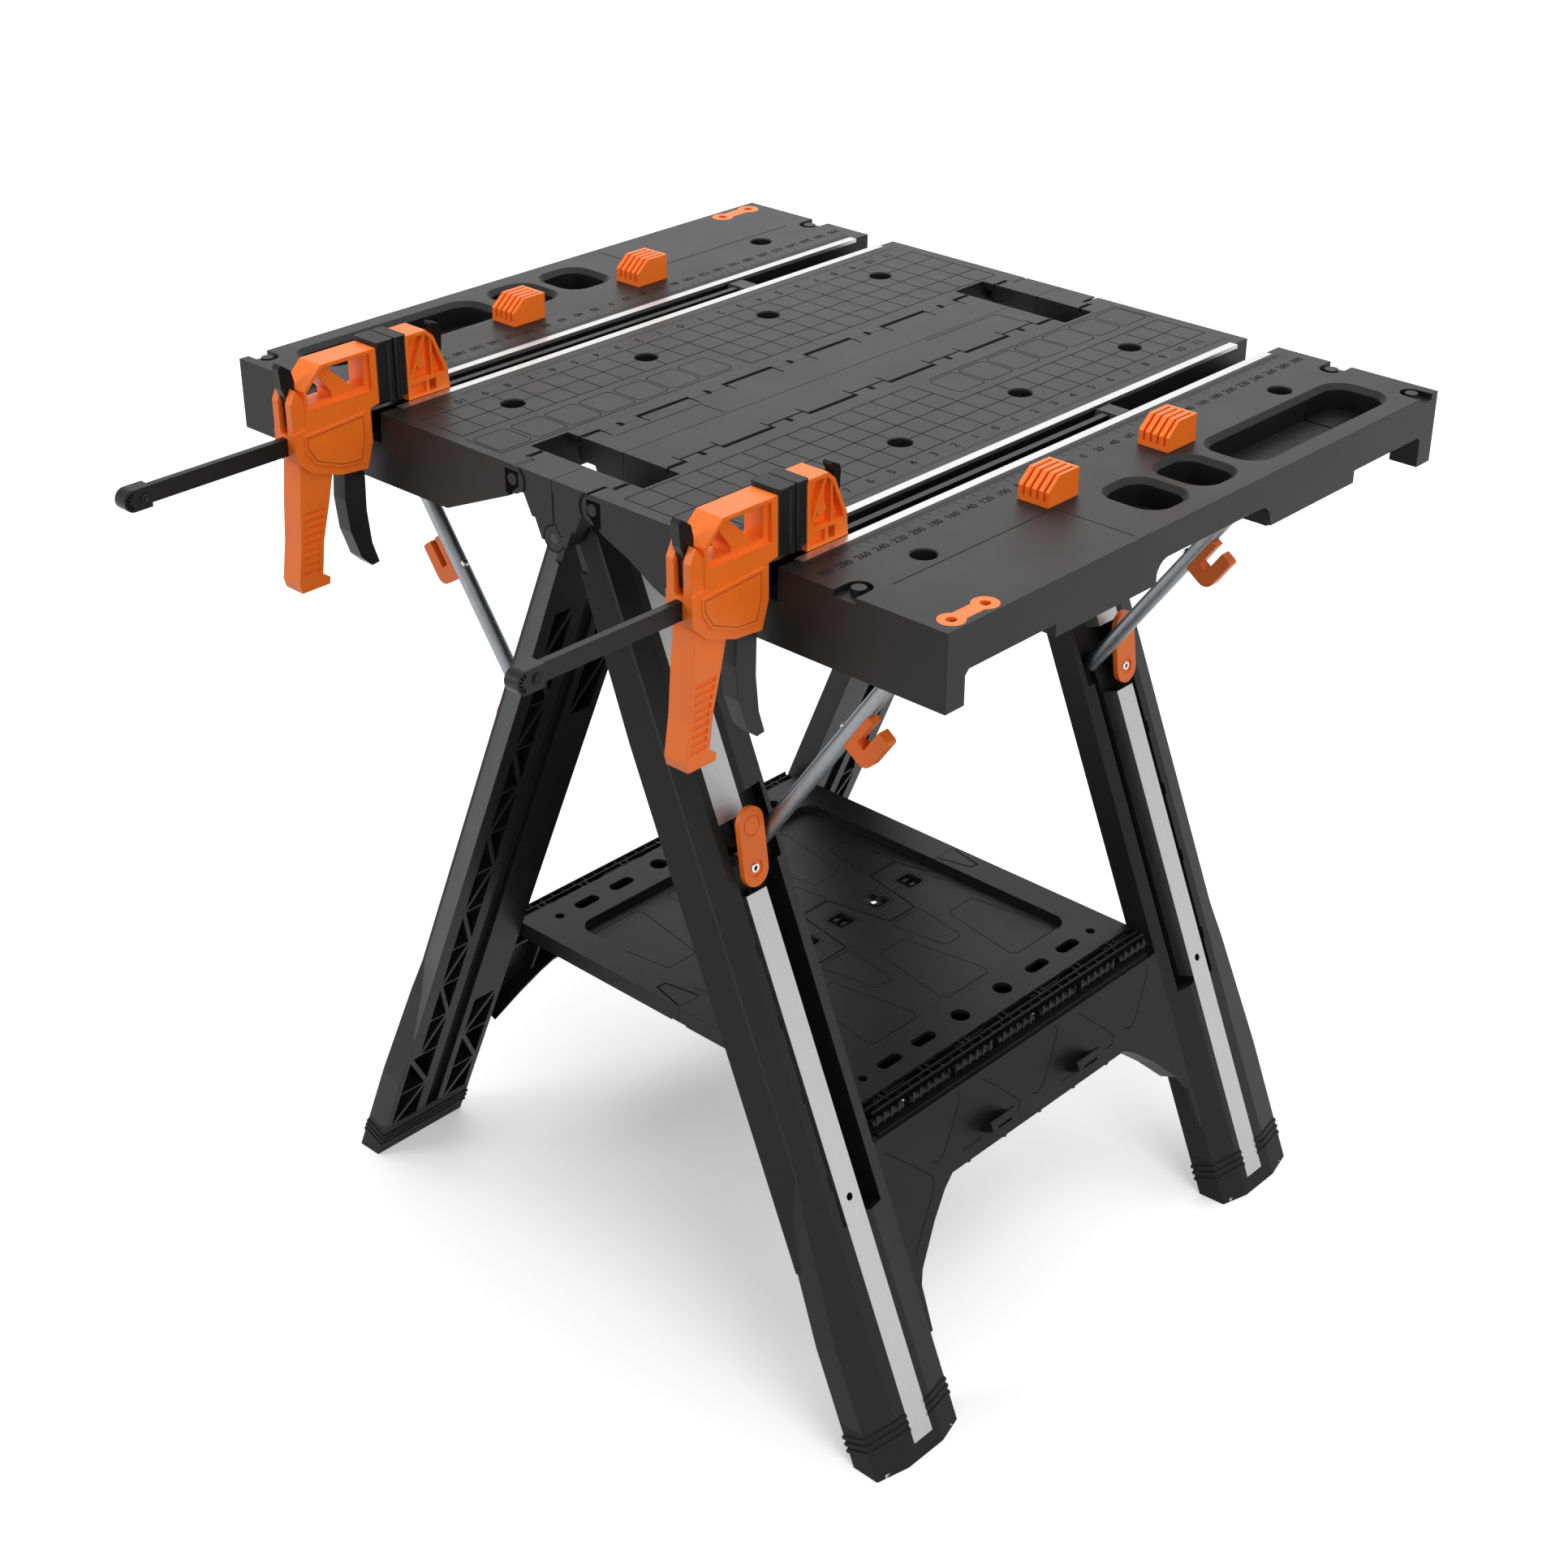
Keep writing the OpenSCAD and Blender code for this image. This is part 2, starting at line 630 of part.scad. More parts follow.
// Tray halves
seam_x = 0.25;
seam_knuckles = [-150, -100, -50, 0, 50, 100, 150];
module tray_leaf() {
  difference() {
    union() {
      block([seam_x, 215], [-tray_half, tray_half], [250, tray_z]);
      // Hinge strip at the outer end
      rod_y(tray_pin[0], tray_pin[1], 4.5, -tray_half, tray_half);
      block([214, tray_pin[0]], [-tray_half, tray_half], [251.5, 257.5]);
      for (y = [-190 : 9.5 : 190])
        block([214, 234], [y - 1.2, y + 1.2], [252, 262.5]);
    }
    // Dished floor
    soft_block([-167, 167], [-162, 162], [258.6, tray_z + 1], 16);
    // Cells of the underside
    for (x = [[12, 58], [62, 110], [114, 164]], y = [-140, -84, -28, 28, 84, 140])
      block(x, [y - 26, y + 26], [249, 255.4]);
    for (y = [-140, -84, -28, 28, 84, 140])
      block([170, 211], [y - 26, y + 26], [249, 262]);
    // Holes through the rim
    for (y = [-162, 162]) translate([192, y, 240]) cylinder(r = 4.5, h = 40);
    for (y = [-30, 30]) translate([192, y, 240]) cylinder(r = 9, h = 40);
    for (y = [-126.6, -80.7, 80.7, 126.6])
      soft_block([186, 198], [y - 14, y + 14], [240, 280], 5.5);
    // Latch holes across the seam
    for (y = [-125, -75, -25, 25, 75, 125])
      block([-10, 10], [y - 7, y + 7], [240, 280]);
    // Edge relief that lets the undersides close together
    block([-1, 9], [-tray_half - 1, tray_half + 1], [249, 251.3]);
    for (y = seam_knuckles)
      rod_y(0, seam_z, 4.5, y - 10.4, y + 10.4);
    // Gaps for the lugs of the frame
    for (y = lug_y)
      block([214.5, 240], [y - 4.4, y + 4.4], [240, 270]);
    rod_y(tray_pin[0], tray_pin[1], 2.55, -200, 200);
  }
}
module seam_barrels(first, bore) {
  for (y = seam_knuckles)
    difference() {
      union() {
        rod_y(0, seam_z, 4, y + first, y + first + 9.7);
        block([0, 9], [y + first, y + first + 9.7], [seam_z + 0.8, seam_z + 4]);
      }
      if (bore) rod_y(0, seam_z, 2.05, y + first - 1, y + first + 11);
    }
}
module tray_left() {
  color(black) {
    on_left() tray_leaf();
    on_left() seam_barrels(-9.9, false);
    for (y = seam_knuckles) rod_y(0, seam_z, 2, y - 0.5, y + 9.5);
  }
}
module tray_right() {
  color(black) {
    tray_leaf();
    seam_barrels(0.2, true);
  }
}
module tray_rod() {
  color(steel) rod_y(-tray_pin[0], tray_pin[1], 2.5, -tray_half + 2, tray_half - 2);
}

// Clamps, each drawn round its own channel
bar_z = [796.5, 811];
module at_left_clamp() { translate([-channel_x, 0, 0]) children(); }
module at_right_clamp() { translate([channel_x, 0, 0]) children(); }
bar_out = -545;
module bar(inner) {
  color("#2e2e2e") block([-3, 3], [bar_out, inner], bar_z);
}
module bar_stop() {
  color(black) difference() {
    union() {
      rod_x(-548, 803.6, 8.8, -6.5, 6.5);
      block([-6.5, 6.5], [-548, -532], [794.8, 812.4]);
      rod_x(-538.6, 803.2, 4.6, -7.6, 7.6);
    }
    block([-3, 3], [bar_out, -500], bar_z);
  }
}
module bar_block(inner) {
  color(black) difference() {
    along_x(-10.5, 10.5) polygon([
      [inner - 7, trough_z + 4.3], [inner - 7, 802], [inner, 812], [inner + 17, 812], [inner + 17, trough_z + 4.3]
    ]);
    block([-3, 3], [inner - 8, inner], [bar_z[0], 814]);
  }
}
module both_sides() {
  children();
  mirror([1, 0, 0]) children();
}
module grip() {
  half = clamp_w / 2;
  color(orange) difference() {
    union() {
      // Body on the bar, with a raised plate on each side
      along_x(-half, half) polygon([
        [-401, 793], [-401, 816], [-388, 819], [-324, 822], [-324, 790], [-331, 768], [-358, 770.5], [-387, 780]
      ]);
      along_x(-half - 0.9, half + 0.9) polygon([
        [-392, 800], [-392, 813], [-330, 817], [-330, 793], [-336, 775], [-358, 777], [-383, 787]
      ]);
      // Hand grip with a toe at the bottom
      along_x(-11, 11) polygon([
        [-396, 790], [-400, 755], [-403, 719], [-408, 688], [-406, 680], [-378, 680], [-377, 686], [-384, 690],
        [-380, 719], [-371, 752], [-362, 790]
      ]);
      // Open upper frame
      along_x(-half, half) polygon([
        [-388.5, 815], [-388.5, 849], [-370, 866.8], [-314.6, 866.8], [-314.6, 820], [-326, 818]
      ]);
      // Horns beside the release lever
      both_sides() along_x(4.7, 12) polygon([[-401, 812], [-401, 841], [-395.5, 852], [-388, 841], [-388, 812]]);
    }
    // Windows of the upper frame, with a slanting web between them
    along_x(-20, 20) polygon([
      [-361.5, 863.6], [-326, 863.6], [-326, 837], [-333, 836.4], [-335.5, 837.5], [-360.5, 861.5]
    ]);
    along_x(-20, 20) polygon([[-373.5, 860.5], [-384.5, 846.5], [-382, 836], [-358.6, 836], [-358.6, 840.5]]);
    both_sides() along_x(9.2, 14) polygon([
      [-385.3, 833], [-385.3, 847.7], [-368.7, 863.6], [-321, 863.6], [-321, 833]
    ]);
    // Level grooves of the hand grip
    for (i = [0 : 8])
      both_sides() intersection() {
        along_x(9.6, 12) polygon([[-397, 752], [-400, 719], [-404.6, 691], [-388, 691], [-384, 719], [-375, 752]]);
        block([9, 13], [-420, -360], [693 + i * 6.3, 697 + i * 6.3]);
      }
    block([-3.1, 3.1], [-420, -300], [bar_z[0] - 0.1, bar_z[1] + 0.1]);
    // Slot for the trigger
    along_x(-8, 8) polygon([[-362, 740], [-362, 792], [-325, 792], [-325, 740]]);
    // Rear slot for the release lever
    block([-4.2, 4.2], [-410, -388.4], [814, 860]);
  }
}
trigger_pin = [-346, 784];
module trigger() {
  color(black) difference() {
    union() {
      along_x(-7.6, 7.6) polygon([
        [-350, 784], [-342, 784], [-331, 762], [-332, 730], [-329, 700], [-323, 681], [-331, 680], [-341, 690],
        [-350, 716], [-353, 745]
      ]);
      rod_x(trigger_pin[0], trigger_pin[1], 5, -7.6, 7.6);
    }
    along_x(-4, 4) polygon([[-349, 772], [-349, 745], [-346, 716], [-338, 694], [-341, 730], [-340, 772]]);
  }
}
module release() {
  color(black) {
    along_x(-4, 4) polygon([
      [-396, 818], [-390, 818], [-390.5, 842], [-389.5, 856], [-392, 866], [-401, 872.5], [-404, 870], [-402.5, 852],
      [-397, 840]
    ]);
    rod_x(-393, 826, 3.4, -4, 4);
  }
}
// Pads: a broad face on a narrower block, under a cap
module pad() {
  color(black) {
    soft_block([-13.2, 13.2], [-314.6, -300], [820, 869], 2);
    soft_block([-15, 15], [-303.6, -297.6], [818.5, 871], 2.5);
    soft_block([-15, 15], [-314.6, -298], [868, 871], 2.5);
  }
}
module jaw() {
  color(orange) difference() {
    union() {
      difference() {
        along_x(-13, 13) polygon([
          [-284, 813.6], [-284, 868.6], [-262, 868.6], [-254.5, 862], [-241.5, 832], [-240, 813.6]
        ]);
        // Hollow sides, and openings in the base
        both_sides() along_x(6, 14) polygon([
          [-280.5, 829], [-280.5, 865.4], [-263.3, 865.4], [-257.2, 860], [-245.8, 833], [-245.5, 829]
        ]);
        both_sides() block([9, 14], [-281, -265], [816.5, 826]);
        both_sides() block([4, 14], [-261.5, -254.5], [816.5, 826]);
      }
      // Boss and ribs in the hollows
      rod_x(-268, 842, 5, -12, 12);
      along_x(-12.4, 12.4) polygon([[-281, 831], [-281, 828], [-279, 828], [-262.5, 864], [-262.5, 866], [-264.5, 866]]);
      block([-12.4, 12.4], [-258.5, -256.3], [828, 863]);
    }
    // Slot over the bar for the lock lever
    block([-4.1, 4.1], [-262, -230], [813, 870]);
  }
}
module jaw_pad() {
  color(black) {
    soft_block([-13.2, 13.2], [-292, -284], [820, 869], 2);
    soft_block([-15, 15], [-296.4, -290], [818.5, 871], 2.5);
    soft_block([-15, 15], [-296, -284], [868, 871], 2.5);
  }
}
module jaw_lock() {
  color(black) {
    along_x(-4, 4) polygon([
      [-250, 818], [-244, 818], [-242, 835], [-239.5, 846], [-238.5, 862], [-240, 866], [-248, 870], [-250, 868],
      [-247, 863], [-246, 848], [-249, 835]
    ]);
    rod_x(-247, 822, 3.4, -4, 4);
  }
}
module bar_left() { at_left_clamp() bar(bar_in[1]); }
module bar_right() { at_right_clamp() bar(bar_in[0]); }
module bar_stop_left() { at_left_clamp() bar_stop(); }
module bar_stop_right() { at_right_clamp() bar_stop(); }
module bar_block_left() { at_left_clamp() bar_block(bar_in[1]); }
module bar_block_right() { at_right_clamp() bar_block(bar_in[0]); }
module grip_left() { at_left_clamp() grip(); }
module grip_right() { at_right_clamp() grip(); }
module pad_left() { at_left_clamp() pad(); }
module pad_right() { at_right_clamp() pad(); }
module trigger_left() { at_left_clamp() trigger(); }
module trigger_right() { at_right_clamp() trigger(); }
module release_left() { at_left_clamp() release(); }
module release_right() { at_right_clamp() release(); }
module jaw_left() { at_left_clamp() jaw(); }
module jaw_right() { at_right_clamp() jaw(); }
module jaw_pad_left() { at_left_clamp() jaw_pad(); }
module jaw_pad_right() { at_right_clamp() jaw_pad(); }
module jaw_lock_left() { at_left_clamp() jaw_lock(); }
module jaw_lock_right() { at_right_clamp() jaw_lock(); }

// Bench dog: a finned block on a round peg
dog_gap = 0.07;
module dog() {
  color(orange) {
    translate([0, 0, top_z - 22]) cylinder(r = dog_hole_r - dog_gap, h = 22.5);
    // Block with a chamfered front, cut into fins that run along the bench
    difference() {
      along_x(-15, 14) polygon([
        [-26, top_z], [11, top_z], [11, top_z + 23], [-13, top_z + 23], [-26, top_z + 12]
      ]);
      for (i = [0 : 3])
        block([-11 + i * 6.5, -8.5 + i * 6.5], [-27, 8], [top_z + 4, top_z + 24]);
    }
  }
}
module dog_right_front() { translate([dog_x[1], -dog_pitch / 2, 0]) dog(); }
module dog_right_back() { translate([dog_x[1], dog_pitch / 2, 0]) dog(); }
module dog_left_front() { translate([-dog_x[1], -dog_pitch / 2, 0]) dog(); }
module dog_left_back() { translate([-dog_x[1], dog_pitch / 2, 0]) dog(); }

// Link plate that joins two benches, stored flush in the corner
module link_plate() {
  color(orange) difference() {
    translate([0, 0, top_z - 3.5]) link_outline(0, 3.5);
    for (y = [-298.3, -261.7]) translate([380.7, y, 790]) cylinder(r = 4.2, h = 30);
  }
}
module link_right() { link_plate(); }
module link_left() { turned() link_plate(); }

left_frame();
right_frame();
left_spine();
right_spine();
channel_left_front();
channel_left_back();
channel_right_front();
channel_right_back();
foot_left_front();
foot_left_back();
foot_right_front();
foot_right_back();
apex_bolts();
left_wing();
right_wing();
left_rails();
right_rails();
left_hinge_rod();
right_hinge_rod();
strut_left_front();
strut_left_back();
strut_right_front();
strut_right_back();
hook_left_front();
hook_left_back();
hook_right_front();
hook_right_back();
lever_left_front();
lever_left_back();
lever_right_front();
lever_right_back();
tray_left();
tray_right();
tray_rod();
bar_left();
bar_right();
bar_stop_left();
bar_stop_right();
bar_block_left();
bar_block_right();
grip_left();
grip_right();
pad_left();
pad_right();
trigger_left();
trigger_right();
release_left();
release_right();
jaw_left();
jaw_right();
jaw_pad_left();
jaw_pad_right();
jaw_lock_left();
jaw_lock_right();
dog_left_front();
dog_left_back();
dog_right_front();
dog_right_back();
link_left();
link_right();
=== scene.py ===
# %% [markdown]
# A folding workbench, dressed for a photograph. The bench is two moulded tables hinged on a
# folding pair of leg frames, with a steel strip down each leg, four tubular braces, two bar
# clamps and a tray between the legs. Its shapes come from the fixed frame. This script gives
# every surface its material, and adds what is too fine for the frame: rulers, engraved lines
# and small fasteners.

# %% Load the frame
import bpy
import bmesh
import json
from math import cos, pi, radians, sin
from mathutils import Matrix, Vector


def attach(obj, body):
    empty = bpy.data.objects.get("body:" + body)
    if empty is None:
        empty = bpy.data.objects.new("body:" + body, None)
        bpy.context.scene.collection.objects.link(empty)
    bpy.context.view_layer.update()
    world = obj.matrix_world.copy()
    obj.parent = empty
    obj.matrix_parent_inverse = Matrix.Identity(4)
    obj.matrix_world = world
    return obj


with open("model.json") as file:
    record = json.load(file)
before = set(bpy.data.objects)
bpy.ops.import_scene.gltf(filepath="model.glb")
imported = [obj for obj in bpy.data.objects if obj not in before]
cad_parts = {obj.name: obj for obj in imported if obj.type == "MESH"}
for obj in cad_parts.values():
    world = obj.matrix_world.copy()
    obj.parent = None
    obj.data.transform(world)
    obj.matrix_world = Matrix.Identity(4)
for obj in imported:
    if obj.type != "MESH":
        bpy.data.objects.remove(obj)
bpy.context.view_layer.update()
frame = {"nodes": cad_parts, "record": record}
nodes = frame["nodes"]

# %% [markdown]
# The photograph was taken from the front right, a little above eye level, with a long lens. A
# camera can be placed by eye, but this one was solved from the rulers and the inch grid on the
# table, whose true sizes are known, so that the picture lines up with the photograph.

# %% Camera
CAMERA_PLACE = Vector((1.370208, -1.528506, 1.564042))
HEADING, TILT, ROLL = radians(42.935), radians(60.813), radians(0.131)

camera_data = bpy.data.cameras.new("camera")
camera_data.sensor_width = 36
camera_data.sensor_fit = "HORIZONTAL"
camera_data.lens = 58.79
camera_data.clip_end = 60
camera = bpy.data.objects.new("camera", camera_data)
bpy.context.scene.collection.objects.link(camera)
camera.matrix_world = (Matrix.Translation(CAMERA_PLACE) @ Matrix.Rotation(HEADING, 4, "Z")
                       @ Matrix.Rotation(TILT, 4, "X") @ Matrix.Rotation(ROLL, 4, "Z"))
bpy.context.scene.camera = camera
print("camera", tuple(camera.location), "lens", camera_data.lens)

# %% [markdown]
# Colours are written as hex, the way a paint card gives them, and turned to the linear light
# that Blender mixes. A lighter or darker shade is a multiple of the linear values, as it is
# when more or less light falls on the same paint.

# %% Colours
MM = 0.001


def colour(hex_code):
    """sRGB hex to linear RGBA."""
    parts = [int(hex_code[i:i + 2], 16) / 255 for i in (1, 3, 5)]
    linear = [c / 12.92 if c <= 0.04045 else ((c + 0.055) / 1.055) ** 2.4 for c in parts]
    return (*linear, 1.0)


def shaded(hex_code, factor):
    """The same colour, lighter or darker."""
    return tuple(c * factor for c in colour(hex_code)[:3]) + (1.0,)


print("mid grey in linear light", round(colour("#808080")[0], 3))

# %% [markdown]
# A material is a small graph of nodes. Each could be laid out by hand in the editor. Here one
# helper adds a node, sets its values and links its inputs, so that each recipe below reads
# from top to bottom. Every recipe starts from a Principled shader joined to the output.

# %% Node helpers
def new_material(name):
    """A material with only a Principled shader and its output."""
    material = bpy.data.materials.new(name)
    material.use_nodes = True
    tree = material.node_tree
    tree.nodes.clear()
    shader = tree.nodes.new("ShaderNodeBsdfPrincipled")
    output = tree.nodes.new("ShaderNodeOutputMaterial")
    tree.links.new(shader.outputs[0], output.inputs["Surface"])
    return material, tree, shader


def add(tree, kind, inputs=None, **settings):
    """Add one node: settings are its properties, inputs its values or linked sockets."""
    node = tree.nodes.new(kind)
    for key, value in settings.items():
        setattr(node, key, value)
    for key, value in (inputs or {}).items():
        if isinstance(value, bpy.types.NodeSocket):
            tree.links.new(value, node.inputs[key])
        else:
            node.inputs[key].default_value = value
    return node


print("node helpers ready")

# %% [markdown]
# Most of the bench is polypropylene, moulded in a tool whose walls were spark eroded to an
# even, fine grain. The grain scatters light, so the plastic looks charcoal where light falls
# on it and black where it does not, with a broad soft shine and no sharp reflection. A real
# grain is about 0.3 mm across. It is drawn at 0.8 mm, as coarse as it needs to be to show.
# A second, slow pattern varies the shine a little, as handled plastic does. A moulded edge is
# never sharp: a bevel node bends the shading over the last 0.9 mm, so that edges catch light.

# %% Grained black plastic
PLASTIC_CLOUD = 55 * MM
PLASTIC_EDGE = 0.9 * MM


def grained_plastic(name, base, roughness, grain_mm, grain_depth, specular):
    material, tree, shader = new_material(name)
    place = add(tree, "ShaderNodeTexCoord").outputs["Object"]
    grain = add(tree, "ShaderNodeTexNoise", {"Vector": place, "Scale": 1 / (grain_mm * MM),
                                             "Detail": 3.0, "Roughness": 0.55}).outputs["Fac"]
    cloud = add(tree, "ShaderNodeTexNoise", {"Vector": place, "Scale": 1 / PLASTIC_CLOUD,
                                             "Detail": 4.0, "Roughness": 0.6}).outputs["Fac"]
    patch = add(tree, "ShaderNodeMapRange", {"Value": cloud, "From Min": 0.3, "From Max": 0.7})
    tint = add(tree, "ShaderNodeMix", {0: patch.outputs[0], 6: shaded(base, 0.88),
                                       7: shaded(base, 1.12)}, data_type="RGBA")
    shine = add(tree, "ShaderNodeMapRange", {"Value": cloud, "To Min": roughness - 0.05,
                                             "To Max": roughness + 0.07})
    tree.links.new(tint.outputs[2], shader.inputs["Base Color"])
    tree.links.new(shine.outputs[0], shader.inputs["Roughness"])
    rounded = add(tree, "ShaderNodeBevel", {"Radius": PLASTIC_EDGE}, samples=3)
    bump = add(tree, "ShaderNodeBump", {"Height": grain, "Strength": 0.35,
                                        "Distance": grain_depth * MM,
                                        "Normal": rounded.outputs[0]})
    tree.links.new(bump.outputs[0], shader.inputs["Normal"])
    shader.inputs["IOR"].default_value = 1.49
    shader.inputs["Specular IOR Level"].default_value = specular
    return material


black_plastic = grained_plastic("grained_black_polypropylene", "#171717", 0.42, 0.8, 0.12, 0.19)
print("plastic of the tables, frames and tray", black_plastic.name)

# %% [markdown]
# Three more black mouldings come from the same recipe. The feet are a rubbery elastomer, duller
# and coarser. The clamps' triggers, releases and stops are nylon from a smooth tool, with more
# shine. The pads that grip the work are soft rubber, whose surface is between the two.

# %% Other black mouldings
foot_elastomer = grained_plastic("moulded_black_elastomer", "#171717", 0.62, 1.2, 0.15, 0.2)
clamp_nylon = grained_plastic("smooth_black_nylon", "#101010", 0.36, 0.5, 0.03, 0.2)
pad_elastomer = grained_plastic("soft_black_pad", "#101010", 0.5, 0.9, 0.08, 0.22)
print("feet, clamps, pads", foot_elastomer.name, clamp_nylon.name, pad_elastomer.name)

# %% [markdown]
# What a hand works is orange nylon: clamps, dogs, levers and hooks. It comes from a smoother
# tool, so it has a soft satin shine and only a trace of grain. A slow cloud darkens the colour
# by up to 6 percent, because a pigment never spreads quite evenly through a moulding.

# %% Orange nylon
NYLON_CLOUD = 30 * MM
NYLON_GRAIN = 0.7 * MM
NYLON_GRAIN_DEPTH = 0.04 * MM
NYLON_EDGE = 0.7 * MM


def orange_nylon(name, base):
    material, tree, shader = new_material(name)
    place = add(tree, "ShaderNodeTexCoord").outputs["Object"]
    cloud = add(tree, "ShaderNodeTexNoise",
                {"Vector": place, "Scale": 1 / NYLON_CLOUD, "Detail": 3.0}).outputs["Fac"]
    grain = add(tree, "ShaderNodeTexNoise",
                {"Vector": place, "Scale": 1 / NYLON_GRAIN, "Detail": 2.0}).outputs["Fac"]
    patch = add(tree, "ShaderNodeMapRange", {"Value": cloud, "From Min": 0.3, "From Max": 0.7})
    tint = add(tree, "ShaderNodeMix", {0: patch.outputs[0], 6: shaded(base, 0.94),
                                       7: colour(base)}, data_type="RGBA")
    shine = add(tree, "ShaderNodeMapRange", {"Value": cloud, "To Min": 0.40, "To Max": 0.50})
    tree.links.new(tint.outputs[2], shader.inputs["Base Color"])
    tree.links.new(shine.outputs[0], shader.inputs["Roughness"])
    rounded = add(tree, "ShaderNodeBevel", {"Radius": NYLON_EDGE}, samples=3)
    bump = add(tree, "ShaderNodeBump", {"Height": grain, "Strength": 0.25,
                                        "Distance": NYLON_GRAIN_DEPTH,
                                        "Normal": rounded.outputs[0]})
    tree.links.new(bump.outputs[0], shader.inputs["Normal"])
    shader.inputs["IOR"].default_value = 1.53
    shader.inputs["Specular IOR Level"].default_value = 0.4
    return material


orange = orange_nylon("satin_orange_nylon", "#fb751a")
print("orange", orange.name)

# %% [markdown]
# The strips down the legs are zinc plated steel, brushed along their length. The braces are
# galvanised tube, duller, with faint crystals. The rails along the channels are anodised
# aluminium, light grey. The clamp bars are steel, blackened in an oil bath, the pins are
# blackened too, and the rivets are turned bright. All are metallic, and the brush marks are a
# noise stretched along the piece, which costs less than modelled scratches.

# %% Metals
def metal(name, base, roughness, stretch_mm, mark_depth, contrast=0.1):
    """stretch_mm is the size of a mark along X, Y and Z."""
    material, tree, shader = new_material(name)
    place = add(tree, "ShaderNodeTexCoord").outputs["Object"]
    scaled = add(tree, "ShaderNodeMapping",
                 {"Vector": place, "Scale": [1 / (size * MM) for size in stretch_mm]})
    marks = add(tree, "ShaderNodeTexNoise", {"Vector": scaled.outputs[0], "Scale": 1.0,
                                             "Detail": 3.0, "Roughness": 0.6}).outputs["Fac"]
    patch = add(tree, "ShaderNodeMapRange", {"Value": marks, "From Min": 0.3, "From Max": 0.7})
    tint = add(tree, "ShaderNodeMix", {0: patch.outputs[0], 6: shaded(base, 1 - contrast),
                                       7: colour(base)}, data_type="RGBA")
    shine = add(tree, "ShaderNodeMapRange", {"Value": marks, "To Min": roughness - 0.06,
                                             "To Max": roughness + 0.06})
    tree.links.new(tint.outputs[2], shader.inputs["Base Color"])
    tree.links.new(shine.outputs[0], shader.inputs["Roughness"])
    bump = add(tree, "ShaderNodeBump",
               {"Height": marks, "Strength": 0.3, "Distance": mark_depth * MM})
    tree.links.new(bump.outputs[0], shader.inputs["Normal"])
    shader.inputs["Metallic"].default_value = 1.0
    return material


strip_steel = metal("brushed_zinc_plated_steel", "#b4b4b4", 0.42, (1.5, 0.8, 60), 0.02)
tube_steel = metal("galvanised_tube", "#8b8d90", 0.38, (5, 5, 7), 0.02, 0.16)
rail_aluminium = metal("anodised_aluminium", "#bdbdbd", 0.35, (0.8, 90, 0.8), 0.01, 0.05)
pin_steel = metal("blackened_steel_pin", "#3c3c3c", 0.4, (3, 3, 3), 0.01)
rivet_steel = metal("turned_steel_rivet", "#c9c9c9", 0.28, (3, 3, 3), 0.01)
bar_steel = metal("oil_blackened_steel", "#2c2b2b", 0.45, (0.8, 40, 0.8), 0.02, 0.2)
metals = (strip_steel, tube_steel, rail_aluminium, pin_steel, rivet_steel, bar_steel)
print("metals", [material.name for material in metals])

# %% [markdown]
# Each node of the frame belongs to a material slot of the record. Walking that list gives
# every node its finish, and shows at once if one was forgotten.

# %% Dress the frame
finish_of_slot = {
    "black_plastic": black_plastic,
    "foot_plastic": foot_elastomer,
    "steel_strip": strip_steel,
    "pin_steel": pin_steel,
    "aluminium_rail": rail_aluminium,
    "strut_steel": tube_steel,
    "orange_plastic": orange,
    "clamp_black": clamp_nylon,
    "bar_steel": bar_steel,
    "pad_rubber": pad_elastomer,
}
for part in frame["record"]["subparts"]:
    mesh = nodes[part["node"]].data
    mesh.materials.clear()
    mesh.materials.append(finish_of_slot[part["material_slot"]])

# %% [markdown]
# The fine pieces are built in millimetres and scaled to metres at the very end, so that every
# number below can be read beside the ruler that it was measured with. A loft bridges rings of
# points into a skin. It is the base of most pieces here, because an engraved line and a thin
# plate are both one outline carried along a path.

# %% Loft
def loft(bm, sections, closed=False):
    """Join rings of points into one skin, with end caps unless it closes on itself."""
    rings = []
    for section in sections:
        points = [bm.verts.new(point) for point in section]
        rings.append([bm.edges.new((points[i - 1], points[i])) for i in range(len(points))])
    for first, second in zip(rings, rings[1:] + (rings[:1] if closed else [])):
        bmesh.ops.bridge_loops(bm, edges=first + second)
    if not closed:
        bmesh.ops.contextual_create(bm, geom=rings[0])
        bmesh.ops.contextual_create(bm, geom=rings[-1])


print("loft ready")

# %% [markdown]
# An engraved line could be cut into the plastic with a boolean, but hundreds of cuts would
# tear up the tables' faces. A ribbon is a loft along the line instead. It stands 0.06 mm over
# the surface, which no eye can see, and keeps its width round corners.

# %% Ribbon
RIBBON_DEPTH = 0.1
SHARPEST = 0.4  # a mitre reaches no further than half the width divided by this


def ribbon(bm, points, width, z=0.0, closed=False, proud=0.06):
    """A flat line of even width along a path, standing a hair above the surface at z."""
    sections = []
    count = len(points)
    for i, (x, y) in enumerate(points):
        before = points[i - 1] if closed or i > 0 else None
        after = points[(i + 1) % count] if closed or i < count - 1 else None
        pairs = ((before, points[i]), (points[i], after))
        steps = [Vector(end) - Vector(start) for start, end in pairs if start and end]
        normals = [Vector((-step.y, step.x)).normalized() for step in steps]
        across = sum(normals, Vector((0, 0))).normalized()
        side = across * (width / 2 / max(across.dot(normals[0]), SHARPEST))
        top, bottom = z + proud, z - RIBBON_DEPTH
        sections.append([(x + side.x, y + side.y, top), (x - side.x, y - side.y, top),
                         (x - side.x, y - side.y, bottom), (x + side.x, y + side.y, bottom)])
    loft(bm, sections, closed)


